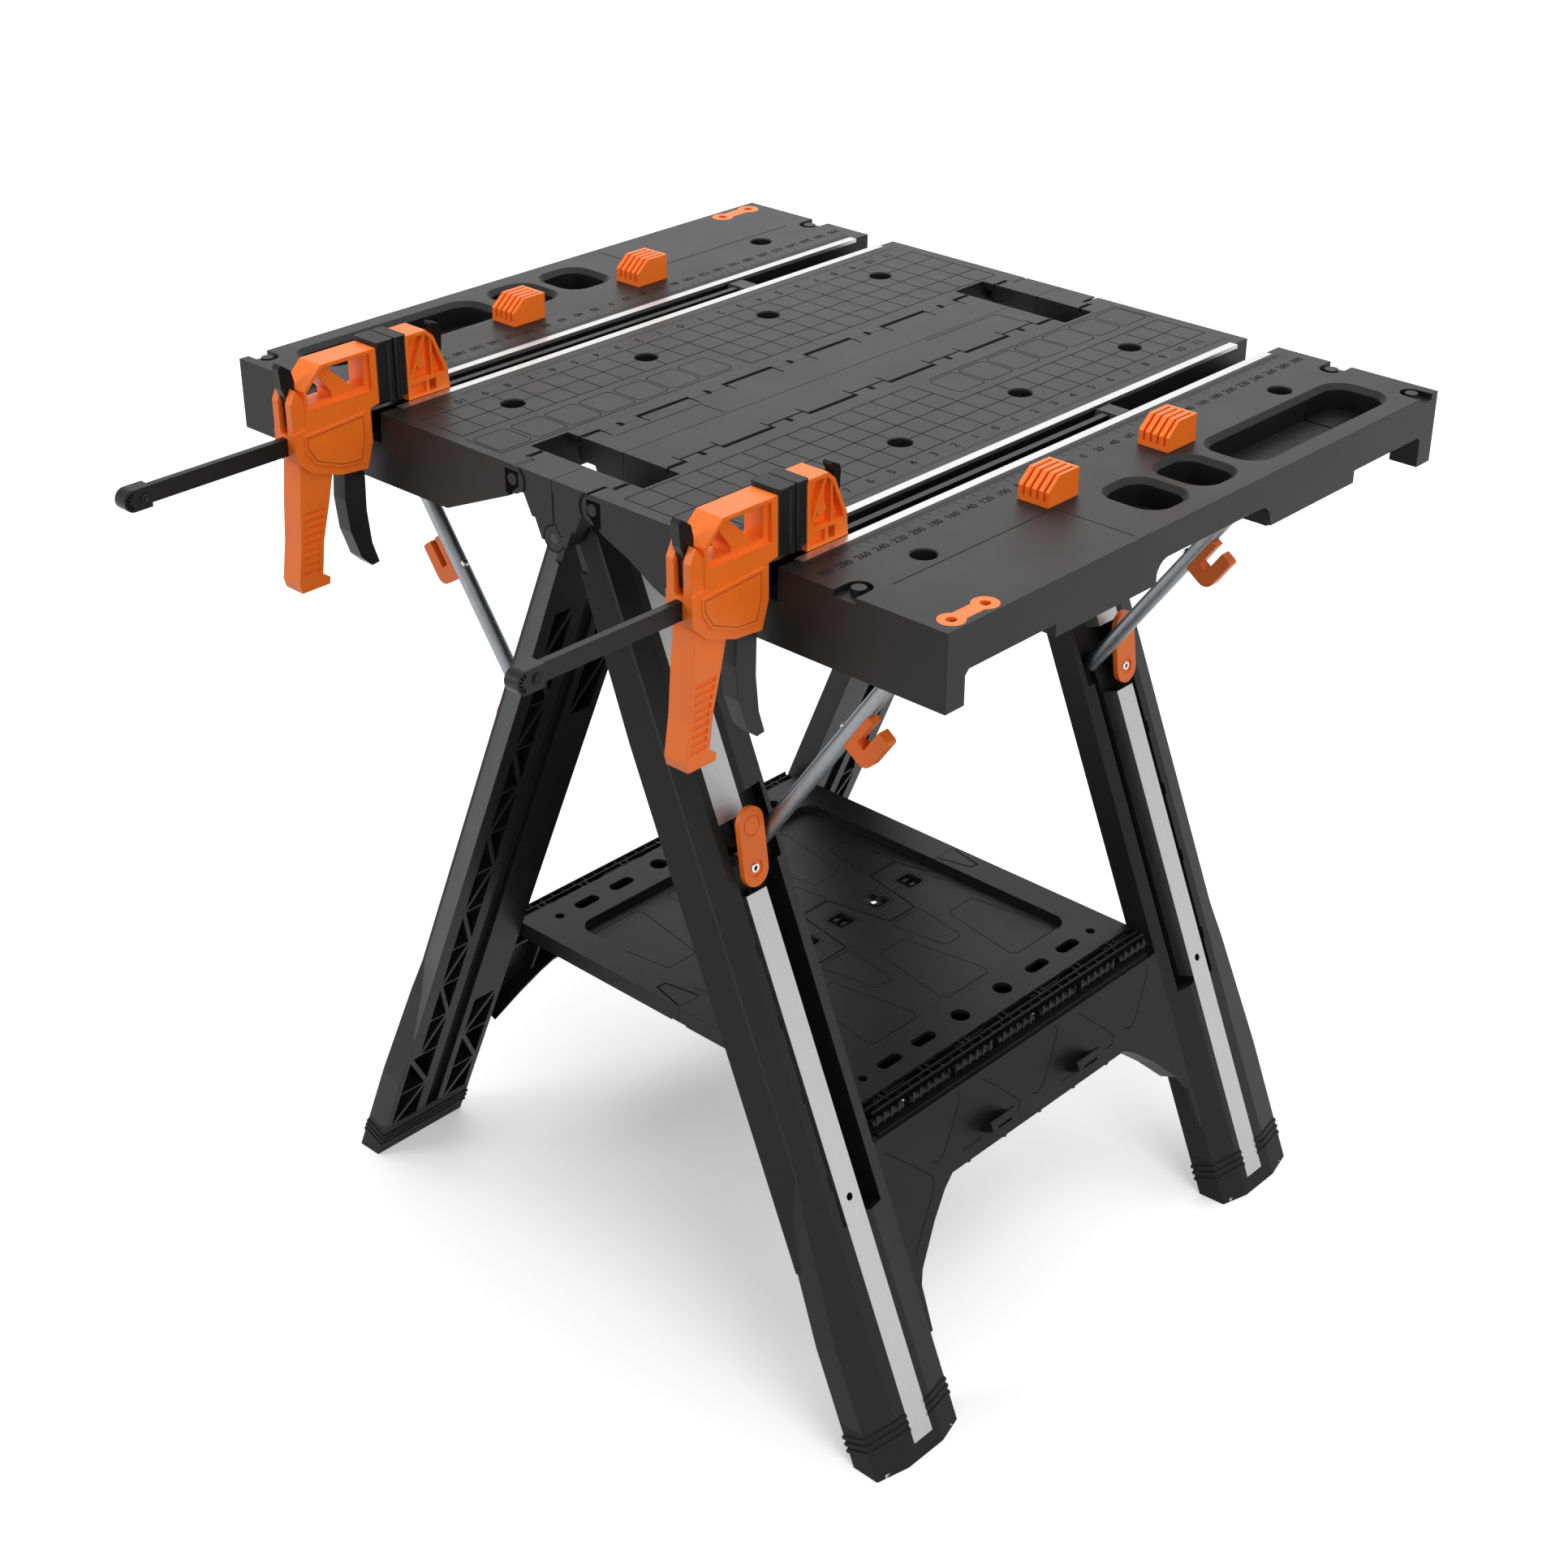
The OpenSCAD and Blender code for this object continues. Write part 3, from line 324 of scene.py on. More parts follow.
print("ribbon ready, sunk", RIBBON_DEPTH, "mm")

# %% [markdown]
# A finished mesh becomes a piece here: it is put in place, scaled to metres, given its material
# and bound to the body that carries it. Its object stays at the origin, so that the patterns,
# which read object coordinates, lie on it as they lie on the frame. The bench looks the same
# after half a turn, so most pieces are drawn on the right and turned for the left.

# %% From mesh to piece
def to_piece(name, bm, body, material, place=None, smooth=False):
    """Scale a mesh from millimetres to metres, and let it ride on a body."""
    place = Matrix.Scale(MM, 4) @ (place or Matrix.Identity(4))
    bmesh.ops.transform(bm, matrix=place, verts=bm.verts)
    bmesh.ops.recalc_face_normals(bm, faces=bm.faces)
    mesh = bpy.data.meshes.new(name)
    bm.to_mesh(mesh)
    bm.free()
    mesh.materials.append(material)
    for polygon in mesh.polygons:
        polygon.use_smooth = smooth
    piece = bpy.data.objects.new(name, mesh)
    bpy.context.scene.collection.objects.link(piece)
    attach(piece, body)
    return piece


half_turn = Matrix.Rotation(pi, 4, "Z")
both_halves = (("right", None), ("left", half_turn))
print("pieces are made at a scale of", MM)

# %% [markdown]
# The numbers and lines on the table are sunk about a quarter of a millimetre into the plastic.
# From a metre away a groove that narrow is only its own shadow, so each one is drawn as a thin
# dark line of painted shade, with the plastic's grain. A deeper painted shade serves gaps and
# hollows, from which no light comes back, and a burnt orange is the painted shade in the grooves
# of the clamps.

# %% Shades for grooves
groove_shade = grained_plastic("painted_groove_shade", "#0a0a0a", 0.8, 0.8, 0.05, 0.15)
hollow_shade = grained_plastic("painted_hollow_shade", "#060606", 0.85, 0.8, 0.05, 0.05)
orange_shade = orange_nylon("painted_orange_groove_shade", "#a8460f")
print("shades", groove_shade.name, hollow_shade.name, orange_shade.name)

# %% [markdown]
# The work surface carries a one inch grid from which cuts are measured. It stops at the clamp
# channel, and two of its columns end early on one half of each table, where a row of plain
# rounded frames takes their place. Each line is one ribbon, broken round the dog holes.

# %% Grid on the tables
INCH = 25.4
TOP = 813.0
GRID_END = 304.8
GRID_LINE = 1.1
HOLE_GAP = 12.2
short_columns = (67.3, 92.7)
long_columns = (118.1, 143.5, 168.9)
HOLE_COLUMN = 143.5
hole_rows = (-9, -3, 3, 9)


def broken_line(bm, start, end, along, holes):
    """A line of the grid, left out where it would cross a dog hole."""
    low = start
    for hole in holes:
        ribbon(bm, [along(low), along(hole - HOLE_GAP)], GRID_LINE, TOP)
        low = hole + HOLE_GAP
    ribbon(bm, [along(low), along(end)], GRID_LINE, TOP)


def grid(bm):
    for k in range(-12, 13):
        start = short_columns[0] if k <= 1 else long_columns[0]
        crossed = [HOLE_COLUMN] if k in hole_rows else []
        broken_line(bm, start, long_columns[-1], lambda x, y=INCH * k: (x, y), crossed)
    for x in short_columns:
        ribbon(bm, [(x, -GRID_END), (x, INCH)], GRID_LINE, TOP)
    for x in long_columns:
        crossed = [INCH * k for k in hole_rows] if x == HOLE_COLUMN else []
        broken_line(bm, -GRID_END, GRID_END, lambda y, x=x: (x, y), crossed)


print("grid lines every", INCH, "mm")

# %% [markdown]
# The rounded frames stand in a row beside an edge line, and a bent line borders the outer half
# of the table. A frame is a closed ribbon whose corners are four short arcs, where a straight
# mitre would look cut with a knife. The left table is the right one turned half round.

# %% Frames on the tables
CORNER_RADIUS = 5
CORNER_STEPS = 5
frame_columns = (72, 107)
frame_rows = ((42.5, 77), (80.5, 114.5), (118, 152.5), (156, 191), (194, 229), (232, 266),
              (270.5, 305))
edge_line = [(68.3, 47.5), (68.3, 307.5), (111, 307.5)]
outer_line = [(387, -98.3), (314.3, -98.3), (314.3, -283)]


def arc(centre, radius, angles):
    """Points round a centre, at angles in degrees."""
    return [(centre[0] + radius * cos(radians(angle)), centre[1] + radius * sin(radians(angle)))
            for angle in angles]


def round_rectangle(x, y):
    """Points round a rectangle with rounded corners."""
    left, right = x[0] + CORNER_RADIUS, x[1] - CORNER_RADIUS
    low, high = y[0] + CORNER_RADIUS, y[1] - CORNER_RADIUS
    points = []
    for turn, centre in enumerate(((right, high), (left, high), (left, low), (right, low))):
        angles = [90 * turn + 90 * i / CORNER_STEPS for i in range(CORNER_STEPS + 1)]
        points += arc(centre, CORNER_RADIUS, angles)
    return points


for side, place in both_halves:
    bm = bmesh.new()
    grid(bm)
    ribbon(bm, edge_line, 1.0, TOP)
    for row in frame_rows:
        ribbon(bm, round_rectangle(frame_columns, row), 0.9, TOP, closed=True)
    ribbon(bm, outer_line, 1.0, TOP)
    to_piece(f"grid_{side}", bm, f"{side}_wing", groove_shade, place)
print("frames on each table", len(frame_rows))

# %% [markdown]
# The digits of the rulers could be drawn stroke by stroke. Blender's own font is close to the
# moulded one, so it is used a little bolder, turned to mesh, and laid to read along the
# channel. A digit is seven tenths as high as the size that the font is given.

# %% Ruler digits
DIGIT_SHARE = 0.7
BOLDER = 0.14
DIGIT_DEPTH = 0.08


def number(bm, text, x, y, height):
    """A number whose middle is at x and y."""
    curve = bpy.data.curves.new("number", "FONT")
    curve.body = text
    curve.size = height / DIGIT_SHARE
    curve.align_x = "CENTER"
    curve.align_y = "CENTER"
    curve.resolution_u = 3
    curve.offset = BOLDER
    curve.extrude = DIGIT_DEPTH
    holder = bpy.data.objects.new("number", curve)
    bpy.context.scene.collection.objects.link(holder)
    mesh = bpy.data.meshes.new_from_object(holder)
    mesh.transform(Matrix.Translation((x, y, TOP)) @ Matrix.Rotation(pi / 2, 4, "Z"))
    bm.from_mesh(mesh)
    bpy.data.objects.remove(holder)
    bpy.data.curves.remove(curve)
    bpy.data.meshes.remove(mesh)


print("digits ready")

# %% [markdown]
# Two rulers run along each channel, both counted from the middle: inches on the inner side,
# with ticks at each eighth, and millimetres on the outer side, with a tick every 2 and a number
# every 20. Ticks grow longer at the halves and at the full units, as on any steel rule.

# %% Rulers
INCH_EDGE, INCH_TICK, INCH_NUMBERS, INCH_DIGIT = 192, 0.55, 179, 8.2
MM_EDGE, MM_TICK, MM_NUMBERS, MM_DIGIT = 246, 0.45, 267, 6.8


def inch_ruler(bm):
    for k in range(-96, 97):
        length = 5.5 if k % 8 == 0 else 4.2 if k % 4 == 0 else 3.0
        y = INCH * k / 8
        ribbon(bm, [(INCH_EDGE - length, y), (INCH_EDGE, y)], INCH_TICK, TOP)
    for k in range(-11, 12):
        number(bm, str(abs(k)), INCH_NUMBERS, INCH * k, INCH_DIGIT)


def millimetre_ruler(bm):
    for y in range(-300, 301, 2):
        length = 11.5 if y % 20 == 0 else 8.5 if y % 10 == 0 else 5.0
        ribbon(bm, [(MM_EDGE, y), (MM_EDGE + length, y)], MM_TICK, TOP)
    for y in range(-300, 301, 20):
        number(bm, str(abs(y)), MM_NUMBERS, y, MM_DIGIT)


for side, place in both_halves:
    bm = bmesh.new()
    inch_ruler(bm)
    millimetre_ruler(bm)
    piece = to_piece(f"rulers_{side}", bm, f"{side}_wing", groove_shade, place)
    print(piece.name, len(piece.data.polygons), "faces")

# %% [markdown]
# Where the tables hinge on the spine, round tongues lock into each other like a door hinge.
# Each tongue has a narrow slot at its middle, which shows black, as no light comes back out of
# it. That black is painted shade: a thin dark loft that follows the round of the tongue, so it
# looks cut in from every side.

# %% Tongue slots
HINGE_X, HINGE_Z = 45, 801
TONGUE_RADIUS = 12
SLOT_HALF_WIDTH = 2.3
tongue_middles = (-200, -100, 0, 100, 200)


def tongue_height(x):
    """The height of a tongue: round about the hinge, then flat."""
    if x >= HINGE_X:
        return TOP
    return HINGE_Z + (TONGUE_RADIUS ** 2 - (HINGE_X - x) ** 2) ** 0.5


def tongue_slot(bm, y):
    low, high = y - SLOT_HALF_WIDTH, y + SLOT_HALF_WIDTH
    profile = [(x, tongue_height(x)) for x in (38.5, 40, 42, 43.5, 45, 50)]
    loft(bm, [[(x, low, z + 0.08), (x, high, z + 0.08), (x, high, z - 0.3), (x, low, z - 0.3)]
              for x, z in profile])


for side, place in both_halves:
    bm = bmesh.new()
    for middle in tongue_middles:
        tongue_slot(bm, middle)
    to_piece(f"tongue_slot_shade_{side}", bm, f"{side}_wing", hollow_shade, place)
print("tongue slots on each table", len(tongue_middles))

# %% [markdown]
# A faint bent line borders a plain field on each half of the middle beam, drawn like the grooves
# of the table as a dark line of painted shade. The two are not quite each other's mirror image,
# so both paths are written out.

# %% Lines on the middle beam
label_lines = {"right": [(4, 121), (4, 218), (33, 218)],
               "left": [(-1.5, -124), (-30.5, -124), (-30.5, -220)]}
for side, path in label_lines.items():
    bm = bmesh.new()
    ribbon(bm, path, 0.9, TOP)
    to_piece(f"label_line_{side}", bm, f"{side}_frame", groove_shade)
print("lines on the beam", len(label_lines))

# %% [markdown]
# The gaps between the tongues are deep and narrow, so no light comes back out of them. They
# show as bold black bars: one along the edge of the middle beam between two tongues, one at
# each side of a tongue, and one in front of its round nose. The real gaps are open in the
# frame. The bars give them the full black that a soft studio light would wash out.

# %% Shadow gaps at the hinges
BEAM_EDGE = 47.2
NOSE_HALF_WIDTH = 19.6
SIDE_GAP = 21.2
beam_gaps = ((222, 240), (122, 178), (22, 78), (283, 297))


def nose_gap(bm, y):
    """A dark band on the falling round of a tongue."""
    face = [(x, tongue_height(x)) for x in (34.6, 36.2, 38.4)]
    outline = [(x, z + 0.1) for x, z in face] + [(x, z - 0.3) for x, z in face[::-1]]
    loft(bm, [[(x, end, z) for x, z in outline] for end in y])


for side, place in both_halves:
    noses, edges = bmesh.new(), bmesh.new()
    for middle in tongue_middles:
        nose_gap(noses, (middle - NOSE_HALF_WIDTH, middle + NOSE_HALF_WIDTH))
        for y in (middle - SIDE_GAP, middle + SIDE_GAP):
            ribbon(edges, [(33.5, y), (48.4, y)], 1.4, TOP)
    for low, high in beam_gaps:
        for end in (-1, 1):
            ribbon(edges, [(BEAM_EDGE, end * low), (BEAM_EDGE, end * high)], 2.4, TOP)
    to_piece(f"nose_gap_{side}", noses, f"{side}_wing", hollow_shade, place)
    to_piece(f"edge_gap_{side}", edges, f"{side}_frame", hollow_shade, place)
print("shadow gaps on both hinges")

# %% [markdown]
# The two halves of the tray meet in a wavy seam: each half reaches past the middle in turn, so
# that neither can slip along the other. The seam is a line of painted shade on the dished floor,
# for the dark of the gap between the halves. It is written once and cut where it crosses the
# middle, and each half carries its own side of it, so that the line parts with the halves when
# the tray folds.

# %% Tray seam
TRAY_FLOOR = 258.6
CLEAR_OF_MIDDLE = 1.5
seam = [(0, 149.4), (-33, 142), (-33, 104.6), (35, 91.6), (35, 55.7), (-33, 42), (-33, 5),
        (35, -7.5), (35, -43), (-33, -58), (-33, -95), (35, -108), (35, -144), (0, -151)]


def split_at_middle(path):
    """Cut a path where it crosses x = 0, and sort the pieces by side."""
    runs = [[path[0]]]
    for before, after in zip(path, path[1:]):
        if before[0] * after[0] < 0:
            share = before[0] / (before[0] - after[0])
            middle = (0.0, before[1] + share * (after[1] - before[1]))
            runs[-1].append(middle)
            runs.append([middle])
        runs[-1].append(after)
    return {"left": [run for run in runs if min(x for x, y in run) < -1],
            "right": [run for run in runs if max(x for x, y in run) > 1]}


def clear_of_middle(run, side):
    """Keep the ends of a run on their own half of the tray."""
    edge = -CLEAR_OF_MIDDLE if side == "left" else CLEAR_OF_MIDDLE
    return [(edge if abs(x) < CLEAR_OF_MIDDLE else x, y) for x, y in run]


for side, runs in split_at_middle(seam).items():
    bm = bmesh.new()
    for run in runs:
        ribbon(bm, clear_of_middle(run, side), 1.3, TRAY_FLOOR)
    to_piece(f"tray_seam_{side}", bm, f"tray_{side}", hollow_shade)
print("tray seam points", len(seam))

# %% [markdown]
# The dished floor is stiffened by shallow panels, which show only as fine outlines: the shade at
# their edges, painted as thin dark lines. One wide and one narrow panel repeat every 100.6 mm.
# The left half is the right one turned half round about the middle of the seam, which lies 2 mm
# off the middle of the bench.

# %% Outlines on the tray
PANEL_STEP = 100.6
panel_steps = (PANEL_STEP, 0, -PANEL_STEP)
wide_panel = [(65, 41), (152, 54.5), (158.5, 50), (158.5, -6), (152, -10), (70, 4), (65, 8)]
narrow_panel = [(39.5, 56), (39.5, 88), (43, 92), (97, 84), (101, 80), (101, 64), (97, 60),
                (43, 51.5)]
end_line = [(6, 146), (45, 153.4), (48, 158)]
about_seam = Matrix.Translation((4, -4, 0)) @ half_turn

for side, place in (("right", None), ("left", about_seam)):
    bm = bmesh.new()
    for step in panel_steps:
        wide = [(x, y + step) for x, y in wide_panel]
        narrow = [(x, y + step - PANEL_STEP) for x, y in narrow_panel]
        ribbon(bm, wide, 0.8, TRAY_FLOOR, closed=True)
        ribbon(bm, narrow, 0.8, TRAY_FLOOR, closed=True)
    ribbon(bm, end_line, 0.7, TRAY_FLOOR)
    to_piece(f"tray_outlines_{side}", bm, f"tray_{side}", groove_shade, place)
print("panels on each half", 2 * len(panel_steps))

# %% [markdown]
# On the rim, which lies higher than the floor, the seam makes one last tooth at each end of the
# tray, drawn as the same dark line of painted shade. Each half carries one of them.

# %% Teeth on the tray's rim
TRAY_RIM = 266.5
teeth = {"left": [(-2, -191.8), (-38, -183.6), (-37, -174), (-2, -167.7)],
         "right": [(2, 190.5), (37, 184), (36, 175.5), (2, 167)]}
for side, path in teeth.items():
    bm = bmesh.new()
    ribbon(bm, path, 1.5, TRAY_RIM)
    to_piece(f"rim_tooth_{side}", bm, f"tray_{side}", hollow_shade)
print("teeth on the rim", len(teeth))

# %% [markdown]
# Six latches hold the halves in line. Each sits in a square hole on the seam, with a thin step
# round it: a dark plate a little below the floor, with the clip on it. The plate's black is
# painted shade of the hole, two dark bands at the ends of the hole carry that painted shade onto
# the floor, and the step is a thin line of painted shade. The holes of the rim are blind
# pockets, closed below, so that small parts laid in them don't fall through, and their floors
# are painted in the same dark shade. All of these are plain blocks, so a slab is a unit cube
# stretched between pairs of coordinates.

# %% Latches and pocket floors
LATCH_STEP, POCKET_STEP = 50, 56
latch_rows = (-2.5, -1.5, -0.5, 0.5, 1.5, 2.5)
no_latch = (-1, 75)  # in this row the left half has only the step


def slab(bm, x, y, z):
    """A plain block between pairs of coordinates."""
    size = Matrix.Diagonal((x[1] - x[0], y[1] - y[0], z[1] - z[0], 1))
    middle = Matrix.Translation((sum(x) / 2, sum(y) / 2, sum(z) / 2))
    bmesh.ops.create_cube(bm, size=1, matrix=middle @ size)


def outwards(near, far, side):
    """A pair of coordinates on one side of the middle, in rising order."""
    return sorted((near * side, far * side))


def latch(plates, clips, side, y):
    x = outwards(0.6, 9.4, side)
    # The plate and the two bands at the ends of the hole are painted shade.
    slab(plates, x, (y - 6.8, y + 6.8), (252.5, 255.8))
    for end in (y - 8.6, y + 8.6):
        ribbon(plates, [(x[0], end), (x[1], end)], 3.0, TRAY_FLOOR)
    slab(clips, outwards(2.4, 7.0, side), (y - 5.2, y + 1.5), (255.8, 257.6))
    slab(clips, outwards(4.2, 5.4, side), (y + 1.5, y + 5.6), (255.8, 256.8))


def latch_step(bm, side, y):
    inner, outer = 1.4 * side, 12.6 * side
    path = [(inner, y - 12), (outer, y - 12), (outer, y + 12), (inner, y + 12)]
    ribbon(bm, path, 0.7, TRAY_FLOOR)


for side_name, side in (("right", 1), ("left", -1)):
    plates, clips, steps, floors = (bmesh.new() for _ in range(4))
    for row in latch_rows:
        y, pocket = LATCH_STEP * row, POCKET_STEP * row
        if (side, y) != no_latch:
            latch(plates, clips, side, y)
        latch_step(steps, side, y)
        # The floor of each pocket is painted shade.
        slab(floors, outwards(170.4, 210.6, side), (pocket - 25.6, pocket + 25.6),
             (250.3, 251.5))
    body = f"tray_{side_name}"
    to_piece(f"latch_plates_{side_name}", plates, body, hollow_shade)
    to_piece(f"latch_clips_{side_name}", clips, body, black_plastic)
    to_piece(f"latch_steps_{side_name}", steps, body, groove_shade)
    to_piece(f"pocket_floors_{side_name}", floors, body, groove_shade)
print("latches and pocket floors in", len(latch_rows), "rows")

# %% [markdown]
# Beyond the rim, the hinge of the tray lies in a deep channel. Thin ribs cross it in pairs,
# 54.4 mm apart, long ribs run between them, and a ladder of short ones fills the outer side.
# The channel itself is a dark plate just above the hinge, painted the black of the shade deep in
# the channel, and the ribs stand on it.

# %% Ribbed channel of the tray hinge
CHANNEL_END = 193.5
RIB_FOOT, RIB_TOP = 262.9, 265.9
PAIR_STEP, LADDER_STEP = 54.4, 14
FIRST_PAIR = -3.4


def hinge_channel(plate, ribs):
    length = (-CHANNEL_END, CHANNEL_END)
    slab(plate, (215.3, 233.4), length, (262.55, 262.95))
    for x in ((222.2, 223.5), (229.4, 230.6)):
        slab(ribs, x, length, (RIB_FOOT, RIB_TOP))
    for k in range(-3, 4):
        for gap in (-4.4, 3.2):
            y = FIRST_PAIR + PAIR_STEP * k + gap
            slab(ribs, (215.3, 222.3), (y, y + 1.2), (RIB_FOOT, RIB_TOP))
    for run in ((147, 184), (38, 80), (-69, -30), (-180, -138)):
        slab(ribs, (217.8, 219.0), run, (RIB_FOOT, 264.6))
    for k in range(-13, 14):
        y = LADDER_STEP * k
        slab(ribs, (223.4, 229.5), (y - 0.5, y + 0.5), (RIB_FOOT, 265.2))


for side, place in both_halves:
    plate, ribs = bmesh.new(), bmesh.new()
    hinge_channel(plate, ribs)
    body = f"tray_{side}"
    to_piece(f"hinge_channel_{side}", plate, body, hollow_shade, place)
    to_piece(f"hinge_ribs_{side}", ribs, body, black_plastic, place)
print("ribbed channels on both halves")

# %% [markdown]
# The panels between the feet carry shallow raised fields, whose edges show as short bent lines
# of painted shade.
# They are drawn flat in the panel's own plane, which leans 22.78 degrees with the legs, and one
# matrix then stands them there: what is drawn to the right runs along the bench, and what is
# drawn upwards climbs the panel.

# %% Lines on the cross panels
PANEL_LEAN = radians(22.78)
PANEL_FOOT = Vector((350.6, 0, 0))
PANEL_INSET = 7.2
falling = [(-93, 264), (-91.9, 259.5), (-95.8, 253.6), (-116, 233.5), (-127.9, 222.5),
           (-136.9, 218.4), (-144, 220.6)]
rising = [(-59.8, 261.3), (-25.7, 225.8), (-23.1, 220.1), (-26.2, 215.4), (-39, 214.4)]
end_field = [(-194, 255), (-161.6, 224.2), (-150, 211.4), (-149.5, 204.7), (-154, 196.6),
             (-164.7, 186.5), (-194, 156)]
below_hook = [(-105.7, 213.6), (-81, 213.6), (-79.9, 215)]
panel_out = Vector((cos(PANEL_LEAN), 0, sin(PANEL_LEAN)))
panel_origin = PANEL_FOOT - PANEL_INSET * panel_out
on_panel = Matrix(((0, -sin(PANEL_LEAN), panel_out.x, panel_origin.x), (1, 0, 0, 0),
                   (0, cos(PANEL_LEAN), panel_out.z, panel_origin.z), (0, 0, 0, 1)))


def shifted(path, step):
    """The same line, further along the panel."""
    return [(y + step, z) for y, z in path]


for side, place in (("right", on_panel), ("left", half_turn @ on_panel)):
    bm = bmesh.new()
    ribbon(bm, end_field, 0.9)
    for step in (0, 139, 278):
        ribbon(bm, shifted(falling, step), 1.1)
    for step in (0, 139.5):
        ribbon(bm, shifted(rising, step), 0.9)
        ribbon(bm, shifted(below_hook, step), 0.9)
    to_piece(f"panel_lines_{side}", bm, f"{side}_frame", groove_shade, place)
print("panel lines on both frames")

# %% [markdown]
# Turned fasteners are made as a lathe makes them: half of an outline, spun round. Each form is
# drawn at the origin with its axis upwards, and stamped where it belongs, turned to face the
# right way. Several forms can be stamped into one mesh, so that they ride as one piece.

# %% Turned forms
LATHE_STEPS = 28


def revolve(bm, profile):
    """Turn a profile of (radius, height) points round Z."""
    points = [bm.verts.new((radius, 0, height)) for radius, height in profile]
    edges = [bm.edges.new(pair) for pair in zip(points, points[1:])]
    bmesh.ops.spin(bm, geom=points + edges, cent=(0, 0, 0), axis=(0, 0, 1), angle=2 * pi,
                   steps=LATHE_STEPS, use_merge=True, use_duplicate=False)
    bmesh.ops.remove_doubles(bm, verts=bm.verts, dist=0.001)


def stamp(bm, form, place):
    """Add a copy of a form to a mesh, at a place given in millimetres."""
    part = bmesh.new()
    form(part)
    bmesh.ops.transform(part, matrix=place, verts=part.verts)
    carrier = bpy.data.meshes.new("carrier")
    part.to_mesh(carrier)
    part.free()
    bm.from_mesh(carrier)
    bpy.data.meshes.remove(carrier)


def facing(place, direction):
    """The turn and shift that stand a form's Z along a direction."""
    turn = Vector(direction).to_track_quat("Z", "Y").to_matrix().to_4x4()
    return Matrix.Translation(place) @ turn


print("lathe steps", LATHE_STEPS)

# %% [markdown]
# A few fasteners catch the light. Each locking lever turns on a tubular rivet that sits in its
# cup, with a bright rim and a dark bore, whose black is painted shade: a dark disc inside the
# rim. Each brace is closed by a plug at its lower end, and holds its storage hook with one pan
# head screw. A plain disc would do for each from afar, but close up only a real profile has the
# bright ring that a turned edge shows.

# %% Outlines of the fasteners
def rivet(bm):
    revolve(bm, [(1.8, 0.1), (1.9, 1.3), (2.3, 1.7), (3.6, 1.7), (4.3, 1.2), (4.6, 0.0)])


# The bore is a dark disc of painted shade.
def bore(bm):
    revolve(bm, [(0.0, 0.5), (1.85, 0.5), (1.85, 0.0)])


def plug(bm):
    revolve(bm, [(2.6, 0.0), (2.6, 0.5), (3.2, 0.8), (4.6, 0.8), (5.2, 0.4), (5.2, 0.0)])


def pan_head(bm):
    revolve(bm, [(0.0, 1.7), (1.6, 1.65), (2.9, 1.2), (3.6, 0.4), (3.7, -0.4)])


print("rivet, bore, plug and screw drawn")

# %% [markdown]
# The places are worked out once, for the right back leg, along the lean of the lever and of
# the brace. The other three legs are its mirror images, so only signs change.

# %% Rivets, plugs and screws
LEVER_TILT = radians(7.4)
lever_out = Vector((cos(LEVER_TILT), 0, sin(LEVER_TILT)))
lever_up = Vector((-sin(LEVER_TILT), 0, cos(LEVER_TILT)))
lever_middle = Vector((139, 250, 508))
rivet_seat = lever_middle + 8.6 * lever_out - 10 * lever_up
brace = Vector((184.5, 0, 258.0)).normalized()
brace_upper_side = Vector((-brace.z, 0, brace.x))
brace_foot = Vector((129.5, 226, 506))
plug_seat = brace_foot - 6 * brace
screw_seat = brace_foot + 167 * brace + 6.9 * brace_upper_side


def mirrored(vector, side, end):
    """The same vector on another leg."""
    return Vector((vector.x * side, vector.y * end, vector.z))


def on_leg(place, direction, side, end):
    return facing(mirrored(place, side, end), mirrored(direction, side, end))


for side_name, side in (("left", -1), ("right", 1)):
    for end_name, end in (("front", -1), ("back", 1)):
        leg = f"{side_name}_{end_name}"
        place = on_leg(rivet_seat, lever_out, side, end)
        for name, form, finish in (("rivet", rivet, rivet_steel),
                                   ("rivet_bore_shade", bore, hollow_shade)):
            bm = bmesh.new()
            form(bm)
            to_piece(f"{name}_{leg}", bm, f"lever_{leg}", finish, place,
                     smooth=True)
        bm = bmesh.new()
        stamp(bm, plug, on_leg(plug_seat, -brace, side, end))
        stamp(bm, pan_head, on_leg(screw_seat, brace_upper_side, side, end))
        to_piece(f"brace_fittings_{leg}", bm, f"strut_{leg}", rivet_steel,
                 smooth=True)
print("fasteners on four levers and four braces")

# %% [markdown]
# At each corner of the middle beam the hinge rod of a table ends in an eye: a round boss in a
# recess, with a raised lip that runs round the knuckle. The recess is a flat plate painted the
# black of its shade, and the lip is a dark line of painted shade at its edge. Below it, the disc
# of the apex bolt shows as a ring on the bracket, also a line of painted shade, as is the seam
# that leads down to it. All are drawn flat, X outwards and Y upwards, and laid on the end face.
# The recess is cut back at a slant where the spine passes it in folding.

# %% Outlines of the hinge eyes
END_FACE = 317.5
LIP_RADIUS = 14
APEX_Z, APEX_RADIUS = 764, 10.9
eye_recess = [(38.6, 808.5), (53.8, 808.5), (53.8, 787.5), (49, 787.5), (38.6, 796.5)]
knuckle_lip = arc((HINGE_X, HINGE_Z), LIP_RADIUS, range(126, 215, 8))
apex_ring = arc((0, APEX_Z), APEX_RADIUS, range(112, 318, 11))
apex_seam = [(1.0, 803), (1.0, 779), (8.2, 767.5)]


def recess_plate(bm):
    loft(bm, [[(x, z, depth) for x, z in eye_recess] for depth in (-0.2, 0.05)])


def eye_boss(bm):
    bmesh.ops.create_cone(bm, cap_ends=True, segments=LATHE_STEPS, radius1=5.3, radius2=4.9,
                          depth=0.9, matrix=Matrix.Translation((HINGE_X, HINGE_Z, 0.35)))


